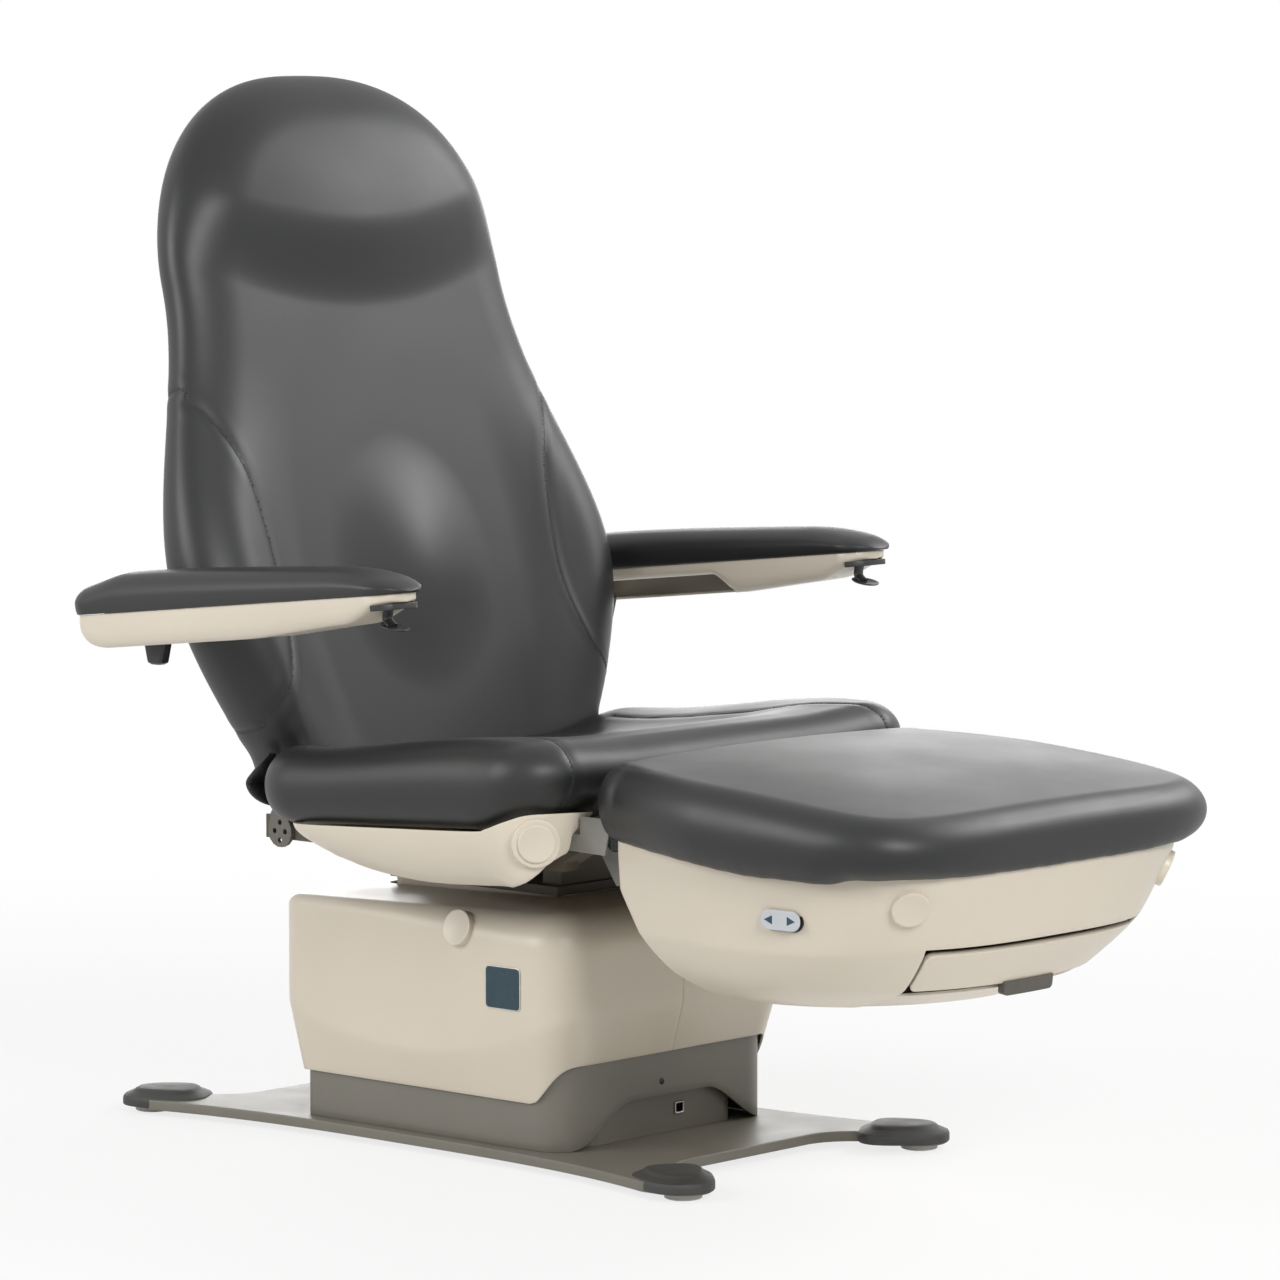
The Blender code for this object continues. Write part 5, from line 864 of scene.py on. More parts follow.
def stitches(name, paths, grid, to_space, body):
    """A fine dark line in each seam, and a row of stitches beside it: spindles that lie on the sewn
    surface, a stitch apart."""
    flat, normals = grid.reshape(-1, 3), grid_normals(grid).reshape(-1, 3)

    def laid(points):
        """Points moved onto the cushion, and its normals there."""
        number = closest_rows(points, flat)
        up = normals[number]
        return points + up * ((flat[number] - points) * up).sum(axis=1, keepdims=True), up

    rows = []
    for path, hand in paths:
        line = evenly(path, STITCH_PITCH)
        along = unit(np.gradient(line, axis=0))
        beside = unit(np.cross(laid(line)[1], along)) * hand
        at, up = laid(line + beside * STITCH_BESIDE)
        rows.append([at, along, beside, up])
        fine, up = laid(evenly(path, SEAM_LINE_PITCH))
        turns = np.arange(8)[:, None, None] * math.pi / 4
        across = unit(np.cross(up, np.gradient(fine, axis=0)))
        tube = fine + (np.cos(turns) * across + np.sin(turns) * up) * SEAM_LINE
        line_name = name + ("_line_a" if hand < 0 else "_line_b")
        seam_line = surface(line_name, to_space(np.transpose(tube, (1, 0, 2))), around=True, caps=True)
        fit(seam_line, thread, body, "upholstery")
    at, *axes = (np.concatenate(column) for column in zip(*rows))
    axes = [to_space(axis) - to_space(np.zeros(3)) for axis in axes]
    fit(beads(name, to_space(at), *axes), thread, body, "upholstery")


def unchanged(points):
    return points


def cushion(name, body, node, grid, to_space):
    """A padded piece in vinyl, from the rings of its form."""
    made = surface(name, to_space(grid), around=True)
    fit(made, vinyl, body, "upholstery", node)


def seat_low(x, y):
    """Height of the underside: flat on the board with a step up over the foot pivot. Near the sides it
    follows the side cover's rim, which climbs slowly forwards and then steps up."""
    board = CUSHION_LOW + SEAT_STEP * ease((SEAT_STEP_Y + SEAT_STEP_LENGTH / 2 - y) / SEAT_STEP_LENGTH)
    hem = HEM_Z + HEM_SLOPE * (HEM_SLOPE_Y - y) + HEM_STEP * ease((HEM_STEP_Y - y) / HEM_STEP_LENGTH)
    return board + (hem - board) * ease((np.abs(x) - HEM_START_X) / HEM_BLEND)


def seat_high(x, y):
    """Height of the seat's top: it falls in one sweep from front to rear, with a shallow dish between the
    side bolsters that runs out at the front roll."""
    sweep = BOLSTER_TOP - BOLSTER_FALL * ease((y - BOLSTER_FALL_Y) / BOLSTER_FALL_LENGTH)
    inner = 1 - ease((np.abs(x) / SEAT_HALF - SEAT_DISH_SHARE) / SEAT_DISH_BLEND)
    return sweep - (SEAT_DIP + SEAT_DISH * ease((y - SEAT_DISH_Y) / SEAT_DISH_LENGTH)) * inner


seat_loop = whole_loop(half_loop(SEAT_HALF, SEAT_FRONT, SEAT_REAR, SEAT_FRONT_RADIUS, SEAT_REAR_RADIUS,
                                 (70, 28, 70, 70)))
seat_grid = cushion_grid(seat_loop, SEAT_EDGE, SEAT_LOW_EDGE, seat_low, seat_high, 30, 60)
seat_seam = seam_on_cushion(smooth_path(SEAT_SEAM, 0.003), seat_loop, SEAT_EDGE, SEAT_LOW_EDGE, seat_low,
                            seat_high, (-1,))
seat_seams = [seat_seam * (side, 1, 1) for side in (-1, 1)]
seat_grid = sew(seat_grid, seat_seams)
cushion("seat_upholstery", "seat", "seat_cushion", seat_grid, unchanged)
stitches("seat_stitching", [(seat_seams[0], -1), (seat_seams[1], 1)], seat_grid, unchanged, "seat")

# Back cushion
# One tall moulded foam back with a round head, a pillow across the head and a lumbar bulge. Curved seams
# part the side wings from the middle panel.
BACK_RECLINE = math.radians(15)
BACK_FOOT = np.array([0.0, 0.139, 0.483])
BACK_LOW, BACK_LENGTH, BACK_HEAD_START = -0.05, 0.867, 0.60
BACK_HEAD_HALF, BACK_WIDEST, BACK_WIDEST_AT, BACK_FOOT_HALF = 0.290, 0.374, 0.235, 0.284
BACK_THICK, BACK_EDGE, BACK_LOW_EDGE, BACK_CORNER = 0.075, 0.078, 0.030, 0.035
NEAR_FOOT_END, NEAR_FOOT_LENGTH, FOOT_END_EDGE, FOOT_END_LOW_EDGE = 0.16, 0.19, 0.026, 0.020
HEAD_POWER = 0.78
BOLSTER_RISE, BOLSTER_AT, BOLSTER_HALF_LENGTH = 0.032, 0.16, 0.34
BOLSTER_SHARE, BOLSTER_BLEND = 0.5, 0.38
LUMBAR_RISE, LUMBAR_AT, LUMBAR_HALF_WIDTH, LUMBAR_HALF_LENGTH = 0.020, 0.225, 0.143, 0.169
PILLOW_RISE, PILLOW_FOOT, PILLOW_FOOT_BOW, PILLOW_FOOT_LENGTH = 0.034, 0.555, 0.8, 0.115
PILLOW_FALL, PILLOW_FALL_START, PILLOW_HALF_WIDTH, PILLOW_SIDE_LOSS = 0.036, 0.68, 0.30, 0.75
BACK_SEAM = ((0.338, 0.475), (0.318, 0.452), (0.297, 0.418), (0.265, 0.335), (0.252, 0.205), (0.268, 0.113),
             (0.297, 0.060), (0.325, 0.030))
FOLD_X, FOLD_HALF_WIDTH, FOLD_HALF_THICK, FOLD_BLUNT = 0.300, 0.018, 0.0050, 0.03
FOLD_PATH = ((0.148, 0.486), (0.156, 0.474), (0.166, 0.462), (0.1755, 0.450), (0.172, 0.439), (0.162, 0.430),
             (0.148, 0.423))
LAMINATE_INSET, LAMINATE_FRONT, LAMINATE_REAR = 0.058, -BACK_THICK - 0.0004, -BACK_THICK - 0.0145
BACK_UP = np.array([0.0, math.sin(BACK_RECLINE), math.cos(BACK_RECLINE)])
BACK_OUT = np.array([0.0, -math.cos(BACK_RECLINE), math.sin(BACK_RECLINE)])

# Columns of the back's space are x to the side, along the back from its foot, and out towards the sitter
on_back = space(BACK_FOOT, (1, 0, 0), BACK_UP, BACK_OUT)


def back_half_width(along):
    """Half width up the back: it swells from the foot to the hips, then draws in to the head."""
    swell = np.sin(np.clip(along / BACK_WIDEST_AT, 0, 1) * math.pi / 2)
    draw = ease((along - BACK_WIDEST_AT) / (BACK_HEAD_START - BACK_WIDEST_AT))
    return BACK_FOOT_HALF + (BACK_WIDEST - BACK_FOOT_HALF) * swell - (BACK_WIDEST - BACK_HEAD_HALF) * draw


def back_loop():
    """Plan of the back: round the foot's corner, up the side and over the head, a power-law quarter."""
    foot = np.linspace((0.0, BACK_LOW), (BACK_FOOT_HALF - BACK_CORNER, BACK_LOW), 60)
    corner = arc((BACK_FOOT_HALF - BACK_CORNER, BACK_LOW + BACK_CORNER), BACK_CORNER, -90, 0, 20)[1:]
    sides = np.linspace(BACK_LOW + BACK_CORNER, BACK_HEAD_START, 150)[1:]
    flank = np.column_stack([back_half_width(sides), sides])
    over = np.radians(np.linspace(0, 90, 110))[1:]
    head = np.column_stack([BACK_HEAD_HALF * np.maximum(np.cos(over), 0) ** HEAD_POWER,
                            BACK_HEAD_START + (BACK_LENGTH - BACK_HEAD_START) * np.sin(over)])
    head[-1, 0] = 0.0
    outline = np.concatenate([foot, corner, flank, head])
    half = smooth_path([*outline[::4], (0.0, BACK_LENGTH)], 0.0042)
    half[-1] = (0.0, BACK_LENGTH)
    return whole_loop(half)


def back_high(x, along):
    """The back's front: side bolsters, a lumbar bulge, and a pillow that swells out above a bowed lower
    edge, is flatter to the sides and falls away to the head."""
    side_share = np.abs(x) / back_half_width(np.minimum(along, BACK_HEAD_START))
    beside = ease((side_share - BOLSTER_SHARE) / BOLSTER_BLEND)
    bolster = BOLSTER_RISE * beside * bump((along - BOLSTER_AT) / BOLSTER_HALF_LENGTH)
    from_lumbar = np.hypot(x / LUMBAR_HALF_WIDTH, (along - LUMBAR_AT) / LUMBAR_HALF_LENGTH)
    swell = ease((along - PILLOW_FOOT - PILLOW_FOOT_BOW * x ** 2) / PILLOW_FOOT_LENGTH)
    fall = np.clip((along - PILLOW_FALL_START) / (BACK_LENGTH - PILLOW_FALL_START), 0, 1) ** 2
    sideways = 1 - PILLOW_SIDE_LOSS * np.clip(x / PILLOW_HALF_WIDTH, -1, 1) ** 2
    pillow = (PILLOW_RISE * swell - PILLOW_FALL * fall) * sideways
    return bolster + LUMBAR_RISE * bump(from_lumbar) + pillow


def back_low(x, along):
    return -BACK_THICK


def vinyl_fold():
    """A flattened roll that follows a bent path beside the back's foot and thins out to both ends."""
    path = smooth_path(FOLD_PATH, 0.0012)
    course = unit(np.gradient(path, axis=0))
    size = np.sqrt(np.sin(math.pi * np.linspace(FOLD_BLUNT, 1 - FOLD_BLUNT, len(path))))[:, None]
    around = np.linspace(0, 2 * math.pi, 32, endpoint=False)
    across = FOLD_HALF_WIDTH * np.cos(around) * size
    off = FOLD_HALF_THICK * np.sin(around) * size
    y = path[:, :1] - course[:, 1:] * off
    z = path[:, 1:] + course[:, :1] * off
    return np.stack([FOLD_X + across, y, z], axis=-1)


back_plan = back_loop()
near_foot = ease((NEAR_FOOT_END - back_plan[:, 1]) / NEAR_FOOT_LENGTH)
back_edge = BACK_EDGE + (FOOT_END_EDGE - BACK_EDGE) * near_foot
back_low_edge = BACK_LOW_EDGE + (FOOT_END_LOW_EDGE - BACK_LOW_EDGE) * near_foot
back_grid = cushion_grid(back_plan, back_edge, back_low_edge, back_low, back_high, 36, 80)
back_seam = seam_on_cushion(smooth_path(BACK_SEAM, 0.003), back_plan, BACK_EDGE, BACK_LOW_EDGE, back_low,
                            back_high, (0, -1))
back_seams = [back_seam * (side, 1, 1) for side in (-1, 1)]
back_grid = sew(back_grid, back_seams)
cushion("back_upholstery", "back", "back_cushion", back_grid, on_back)
for side_name, side in SIDES:
    fold = surface("vinyl_fold_" + side_name, vinyl_fold() * (side, 1, 1), around=True, caps=True)
    fit(fold, vinyl, "back", "upholstery")
laminate_loop = inset(back_plan, LAMINATE_INSET)
laminate = slab("back_laminate", laminate_loop, LAMINATE_REAR, LAMINATE_FRONT, 0.002, on_back)
fit(laminate, black_plastic, "back", "dark", "back_panel")
stitches("back_stitching", [(back_seams[0], 1), (back_seams[1], -1)], back_grid, on_back, "back")

# Arms
# Each arm is a vinyl pad on a cream moulding that is open behind and closed under the front. A black bar
# with a hooked finger tab releases it at the tip, and a paddle under the rear locks it.
ARM_PIVOT_ALONG = 0.19
ARM_INNER, ARM_WIDTH, ARM_LENGTH = 0.386, 0.086, 0.548
ARM_OVERHANG, ARM_SEAM_RISE = 0.043, 0.019
ARM_SLOPE = math.radians(6)
ARM_MIDDLE = ARM_INNER + ARM_WIDTH / 2
PAD_THICK, PAD_FALL, PAD_FALL_SHARE, PAD_TIP_SHARE = 0.048, 0.018, 0.20, 0.80
PAD_EDGE, PAD_LOW_EDGE, PAD_GAP = 0.020, 0.003, 0.0003
PAD_SIDE_FALL, PAD_REAR_FALL, PAD_REAR_SHARE = 0.010, 0.014, 0.17
HOUSING_INSET, HOUSING_WALL = 0.005, 0.003
HOUSING_REAR_ROUND, HOUSING_REAR_RISE = 0.034, 0.058
HOUSING_TIP_GAP, HOUSING_TIP_ROUND = 0.008, 0.036
HOUSING_DEPTH, HOUSING_FRONT_DEPTH, HOUSING_INNER_DEPTH = 0.042, 0.031, 0.016
HOUSING_STEP_SHARE, HOUSING_STEP_BLEND = 0.52, 0.085
HOUSING_TIP_LIFT, HOUSING_TIP_SHARE, HOUSING_SOFT = 0.72, 0.84, 0.012
HOUSING_OPEN_START, HOUSING_OPEN_END, HOUSING_OPEN_CELLS = 0.09, 0.53, np.arange(10, 13)
BAR_START, BAR_END, BAR_LOW, BAR_HIGH, BAR_PROUD = 0.516, 0.5365, -0.0185, -0.0115, 0.0014
LEVER_ALONG = ARM_LENGTH - 0.0350
HOOK_PATH = ((-0.002, -0.012), (-0.004, -0.020), (-0.006, -0.030), (0.001, -0.0372))
HOOK_HALF_WIDTH, HOOK_HALF_THICK = 0.0085, 0.0034
TAB_AHEAD, TAB_Z, TAB_TILT = 0.004, -0.0392, math.radians(18)
TAB_PROFILE = ((0.0, 0.0), (0.00848, 0.0003), (0.01325, 0.0010), (0.0159, 0.0016), (0.017278, 0.0018),
               (0.017808, 0.0010), (0.017278, 0.0), (0.01537, -0.0010), (0.00848, -0.0022), (0.0, -0.0024))
PADDLE_TOP, PADDLE_TAPER, PADDLE_CORNER = 1.55, 0.62, 0.004
PADDLE_TIP, PADDLE_TIP_SIZE = 0.86, 0.65
FIT_GAP, BACK_PANEL, FRAME_HALF = 0.0003, 0.014, 0.0125
FRAME_MIDDLE = -BACK_THICK - 2 * FIT_GAP - BACK_PANEL - FRAME_HALF
ARM_RUN = np.array([0.0, -math.cos(ARM_SLOPE), math.sin(ARM_SLOPE)])
ARM_RISE = np.array([0.0, math.sin(ARM_SLOPE), math.cos(ARM_SLOPE)])
ARM_PIVOT = on_back((0.0, ARM_PIVOT_ALONG, FRAME_MIDDLE))
ARM_REAR = ARM_PIVOT - ARM_RUN * ARM_OVERHANG + ARM_RISE * ARM_SEAM_RISE


def arm_space(side):
    """The space of one arm: across from its middle line, along it from its rear end, up from the seam."""
    return space(ARM_REAR + (side * ARM_MIDDLE, 0, 0), (side, 0, 0), ARM_RUN, ARM_RISE)


def pad_high(across, along):
    """The pad's crown: thick behind, thinner forwards, and round down to the seam at the tip. It is lower at
    both sides and at the rear end."""
    share = np.clip(along / ARM_LENGTH, 0, 1)
    thick = PAD_THICK - PAD_FALL * np.clip((share - PAD_FALL_SHARE) / (1 - PAD_FALL_SHARE), 0, 1) ** 1.5
    tip = np.sqrt(1 - 0.985 * np.clip((share - PAD_TIP_SHARE) / (1 - PAD_TIP_SHARE), 0, 1) ** 2)
    side_fall = PAD_SIDE_FALL * tip * (across / (ARM_WIDTH / 2)) ** 2
    return thick * tip - side_fall - PAD_REAR_FALL * ease((PAD_REAR_SHARE - share) / PAD_REAR_SHARE)


def pad_low(across, along):
    return PAD_GAP


def housing_half(along):
    """Half width of the housing along the arm: straight, with a round rear end and a round tip."""
    tip_start = ARM_LENGTH - HOUSING_TIP_GAP - HOUSING_TIP_ROUND
    rear_round = np.sqrt(1 - (0.94 * np.clip(1 - along / HOUSING_REAR_ROUND, 0, 1)) ** 2)
    tip_round = np.sqrt(1 - np.clip((along - tip_start) / HOUSING_TIP_ROUND, 0, 1) ** 2)
    return (ARM_WIDTH / 2 - HOUSING_INSET) * rear_round * tip_round


def housing_grid():
    """A trough: rows along the arm, columns from the inner rim down, across the belly and up to the outer
    rim. The outer wall is deep behind. The inner wall is shallow there, and steps down in an S to a belly
    that rises to the tip. Both ends are round."""
    along = np.concatenate([np.linspace(0.003, 0.06, 26), np.linspace(0.06, ARM_LENGTH - 0.06, 110)[1:],
                            np.linspace(ARM_LENGTH - 0.06, ARM_LENGTH - HOUSING_TIP_GAP, 30)[1:]])
    share = along / ARM_LENGTH
    half = housing_half(along)
    fall = HOUSING_DEPTH + (HOUSING_FRONT_DEPTH - HOUSING_DEPTH) * ease((share - 0.5) / 0.45)
    rear_lift = np.sqrt(1 - (0.97 * np.clip(1 - along / HOUSING_REAR_RISE, 0, 1)) ** 2)
    tip_lift = 1 - HOUSING_TIP_LIFT * ease((share - HOUSING_TIP_SHARE) / (1 - HOUSING_TIP_SHARE))
    in_front = ease((share - HOUSING_STEP_SHARE) / HOUSING_STEP_BLEND)
    step_down = (fall - HOUSING_INNER_DEPTH + 0.001) * in_front
    outer = fall * rear_lift * tip_lift
    inner = (HOUSING_INNER_DEPTH + step_down) * rear_lift * tip_lift
    bend = np.radians(np.linspace(0, 90, 9))
    soft = np.minimum(HOUSING_SOFT, half * 0.5)
    seam = 0 * half - FIT_GAP

    def wall(depth, hand):
        """Columns from the rim of one side down round the belly's edge."""
        upright = [(hand * half, seam), (hand * half, -depth * 0.35)]
        round_edge = [(hand * (half - soft * (1 - math.cos(a))), -depth + depth * 0.5 * (1 - math.sin(a)))
                      for a in bend]
        return [*upright, *round_edge, (hand * half * 0.33, -depth - 0.0005)]

    columns = wall(inner, -1) + wall(outer, 1)[::-1]
    grid = np.stack([np.stack([x, along, z], axis=-1) for x, z in columns], axis=1)
    keep = np.ones((grid.shape[0] - 1, grid.shape[1] - 1), bool)
    open_rows = (share[1:] < HOUSING_OPEN_END) & (share[:-1] > HOUSING_OPEN_START)
    keep[np.ix_(open_rows, HOUSING_OPEN_CELLS)] = False
    return grid, keep


def lever_parts(side_name, on_arm):
    """The release: a black bar through the tip, a hooked stem, and a dished finger disc tilted forwards."""
    along = np.linspace(BAR_START, BAR_END, 14)
    half = housing_half(along) + BAR_PROUD
    bar_loop = np.concatenate([np.column_stack([half, along]), np.column_stack([-half, along])[::-1]])
    bar = slab("release_bar_" + side_name, bar_loop, BAR_LOW, BAR_HIGH, 0.0008, on_arm)
    fit(bar, black_plastic, "arm_" + side_name, "black")
    stem = smooth_path([(0.0, LEVER_ALONG + ahead, height) for ahead, height in HOOK_PATH], 0.0012)
    beside = np.array([HOOK_HALF_WIDTH, 0.0, 0.0])
    other = unit(np.cross(np.gradient(stem, axis=0), beside)) * HOOK_HALF_THICK
    oval = arc((0, 0), 1.0, 0, 345, 23)
    tube = stem[:, None, :] + oval[None, :, :1] * beside + oval[None, :, 1:] * other[:, None, :]
    hook = surface("finger_hook_" + side_name, on_arm(tube), around=True, caps=True)
    radius, height = np.array(TAB_PROFILE).T[:, :, None]
    angles = np.linspace(0, 2 * math.pi, 48, endpoint=False)
    disc = np.stack([radius * np.cos(angles), radius * np.sin(angles), height + 0 * angles], axis=-1)
    sine, cosine = math.sin(TAB_TILT), math.cos(TAB_TILT)
    on_tab = space((0, LEVER_ALONG + TAB_AHEAD, TAB_Z), (1, 0, 0), (0, cosine, -sine), (0, sine, cosine))
    tab = surface("finger_tab_" + side_name, on_arm(on_tab(disc)), around=True)
    fit(tab, black_plastic, "lever_" + side_name, "black", "arm_lever_" + side_name)
    fit(hook, black_plastic, "lever_" + side_name, "black")


def paddle(side_name):
    """The lock paddle: a tapered tongue, rounded on all edges, that hangs from its roll."""
    low, high = (np.array(corner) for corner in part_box("arm_paddle_" + side_name))
    middle = (low + high) / 2 - (0, MIDDLE_Y, 0)
    half = (high - low) / 2
    rings = []
    for level in np.linspace(0, 1, 14):
        taper = PADDLE_TOP - PADDLE_TAPER * level
        rounding = max(0.0, (level - PADDLE_TIP) / (1 - PADDLE_TIP))
        end = PADDLE_TIP_SIZE + (1 - PADDLE_TIP_SIZE) * math.sqrt(1 - rounding ** 2)
        loop = round_box(half[0] * end, half[1] * taper * end, PADDLE_CORNER * end, 5)
        rings.append(raised(loop + middle[:2], high[2] - (high[2] - low[2]) * level))
    made = surface("lock_paddle_" + side_name, np.array(rings), around=True, caps=True)
    fit(made, black_plastic, "paddle_" + side_name, "black", "arm_paddle_" + side_name)


for side_name, side in SIDES:
    body = "arm_" + side_name
    on_arm = arm_space(side)
    half = ARM_WIDTH / 2
    pad_plan = whole_loop(half_loop(half, 0.0, ARM_LENGTH, half * 0.75, half * 0.98, (12, 30, 60, 12)))
    pad_grid = cushion_grid(pad_plan, PAD_EDGE, PAD_LOW_EDGE, pad_low, pad_high, 24, 24)
    cushion("arm_upholstery_" + side_name, body, "arm_pad_" + side_name, pad_grid, on_arm)
    grid, keep = housing_grid()
    trough = surface("arm_moulding_" + side_name, on_arm(grid), keep=keep, sharp=60,
                     inside=on_arm((0, ARM_LENGTH / 2, 0.0)))
    fit(thicken(trough, HOUSING_WALL, 0.0006), cream, body, "cream", "arm_housing_" + side_name)
    lever_parts(side_name, on_arm)
    paddle(side_name)

# Foot shell
# A deep cream pan under the foot cushion. Its front is bowed, and below a faint crease it turns in like a
# bowl. A window for the tray runs across its front, and a round plug sits on each front corner.
SHELL_TOP, SHELL_BRIM, SHELL_CREASE_Z, SHELL_LOW = 0.4270, 0.4063, 0.316, 0.242
SHELL_HALF, SHELL_DRAFT, SHELL_LEAN, SHELL_LINE_SHARE = 0.299, 0.008, 0.085, 0.35
SHELL_SHOULDER = -0.56
SHELL_REAR, SHELL_DRAW, SHELL_REAR_RADIUS = -0.384, 0.033, 0.02
SHELL_WALL = 0.003
SHELL_HEIGHTS = (SHELL_LOW, 0.268, 0.325, SHELL_BRIM)
SHELL_FRONTS = (-0.738, -0.786, -0.829, -0.852)
SHELL_POWERS = (2.0, 2.35, 3.05, 4.2)
SHELL_REAR_HEIGHTS = (SHELL_LOW, 0.272, 0.302, 0.363)
SHELL_REARS = (-0.50, -0.452, -0.428, SHELL_REAR)
WINDOW_LOW, WINDOW_TOP = 0.262, 0.3245
WINDOW_LOW_HALF, WINDOW_TOP_HALF = 0.170, 0.199
WINDOW_RECESS, RECESS_BLEND_SHARE, RECESS_BLEND = 0.011, 0.05, 0.002
SHELL_FLOOR_AHEAD, SHELL_FLOOR_DROP, SHELL_FLOOR_SCALES = 0.11, 0.0015, (0.93, 0.6, 0.3, 0.0)
ARM_GAP_Z = 0.3485
SHELL_STEPS = (36, 56, 40, 8, 40)
DRAW_POWER = 1.6
SHELL_PLUG_X, SHELL_PLUG_Z = 0.2365, 0.3775
SHELL_PLUG_RADIUS, SHELL_PLUG_PROUD, SHELL_PLUG_DEPTH = 0.0225, 0.0058, 0.012
SLOPE_STEP, SLOPE_RISE = 0.004, 0.02
BOARD_GAP = 0.0004


def shell_size(height):
    """Half width, front, roundness of the front, and rear of the shell at a height. Above the crease the
    wall has a small draft, and below it turns in along a mix of a line and an arc."""
    below = np.clip((SHELL_CREASE_Z - height) / (SHELL_CREASE_Z - SHELL_LOW), 0, 1)
    lean = SHELL_LINE_SHARE * below + (1 - SHELL_LINE_SHARE) * (1 - np.sqrt(1 - below ** 2))
    above = np.clip((SHELL_BRIM - height) / (SHELL_BRIM - SHELL_CREASE_Z), 0, 1)
    half = SHELL_HALF - SHELL_DRAFT * above - SHELL_LEAN * lean
    front = np.interp(height, SHELL_HEIGHTS, SHELL_FRONTS)
    power = np.interp(height, SHELL_HEIGHTS, SHELL_POWERS)
    return half, front, power, np.interp(height, SHELL_REAR_HEIGHTS, SHELL_REARS)


def window_half(height):
    share = np.clip((height - WINDOW_LOW) / (WINDOW_TOP - WINDOW_LOW), 0, 1)
    return WINDOW_LOW_HALF + (WINDOW_TOP_HALF - WINDOW_LOW_HALF) * share


def shell_front_y(x, height):
    """Y of the bowed front at a place across and a height: a power-law curve about the shoulder line."""
    half, front, power, _ = shell_size(height)
    share = np.clip(1 - (np.abs(x) / half) ** power, 0, 1) ** (1 / power)
    return SHELL_SHOULDER + (front - SHELL_SHOULDER) * share


def bowed_nose(half, front, shoulder, power, angle):
    """Half of a bowed front, as a power-law curve from its middle line to the shoulder line."""
    share = np.maximum(np.cos(angle), 0) ** (2 / power)
    return np.column_stack([half * np.sin(angle) ** (2 / power), shoulder + (front - shoulder) * share])


def shell_half_row(height):
    """Half of the plan at a height: the window's width, the rest of the bowed front to the shoulder, the
    side that draws in to the rear, its corner and the rear edge."""
    half, front, power, rear = shell_size(height)
    window = window_half(height)
    across = np.linspace(0, window, SHELL_STEPS[0] + 1)
    middle = np.column_stack([across, shell_front_y(across, height)])
    angle = np.linspace(np.arcsin((window / half) ** (power / 2)), math.pi / 2, SHELL_STEPS[1] + 1)[1:]
    nose = bowed_nose(half, front, SHELL_SHOULDER, power, angle)
    side_y = np.linspace(SHELL_SHOULDER, rear - SHELL_REAR_RADIUS, SHELL_STEPS[2] + 1)[1:]
    share = (side_y - SHELL_SHOULDER) / (SHELL_REAR - SHELL_SHOULDER)
    side = np.column_stack([half - SHELL_DRAW * share ** DRAW_POWER, side_y])
    corner = arc(side[-1] - (SHELL_REAR_RADIUS, 0), SHELL_REAR_RADIUS, 0, 90, SHELL_STEPS[3])[1:]
    rear_edge = np.linspace(corner[-1], (0.0, corner[-1, 1]), SHELL_STEPS[4] + 1)[1:]
    return np.concatenate([middle, nose, side, corner, rear_edge])


def foot_pan():
    """Rows of the plan from the rim to the floor. The cells of the window and of the gap for the steel arms
    are left out, and the lip under the window stands back behind the tray's front."""
    crease_depth = SHELL_CREASE_Z - SHELL_LOW
    last = np.linspace(math.asin((SHELL_CREASE_Z - WINDOW_LOW) / crease_depth), math.pi / 2, 13)[1:]
    heights = np.concatenate([np.linspace(SHELL_TOP, WINDOW_TOP, 14),
                              np.linspace(WINDOW_TOP, WINDOW_LOW, 16)[1:],
                              SHELL_CREASE_Z - crease_depth * np.sin(last)])
    rows = np.array([raised(whole_loop(shell_half_row(height)), height) for height in heights])
    inside_window = np.abs(rows[:, :, 0]) / window_half(heights)[:, None]
    under_window = ease((WINDOW_LOW - rows[:, :, 2]) / RECESS_BLEND)
    set_back = ease((1 - inside_window) / RECESS_BLEND_SHARE) * under_window
    rows[:, :, 1] += WINDOW_RECESS * set_back * (rows[:, :, 1] < SHELL_SHOULDER)
    middle_y = (SHELL_SHOULDER + SHELL_REAR) / 2 - SHELL_FLOOR_AHEAD
    middle = np.array([0.0, middle_y, SHELL_LOW - SHELL_FLOOR_DROP])
    floor_rows = [middle + (rows[-1] - middle) * (scale, scale, 0.0) for scale in SHELL_FLOOR_SCALES]
    grid = np.concatenate([rows, np.array(floor_rows)])
    count = grid.shape[1]
    column = np.arange(count)
    across_window = (column < SHELL_STEPS[0]) | (column >= count - SHELL_STEPS[0])
    along_rear = np.abs(column + 0.5 - count // 2) < SHELL_STEPS[4]
    level = (grid[:-1, 0, 2] + grid[1:, 0, 2]) / 2
    keep = ~(((level < WINDOW_TOP) & (level > WINDOW_LOW))[:, None] & across_window)
    keep &= ~((level > ARM_GAP_Z)[:, None] & along_rear)
    made = surface("foot_pan", grid, around=True, inside=(0, -0.6, 0.33), keep=keep, sharp=42)
    return thicken(made, SHELL_WALL, 0.0009)


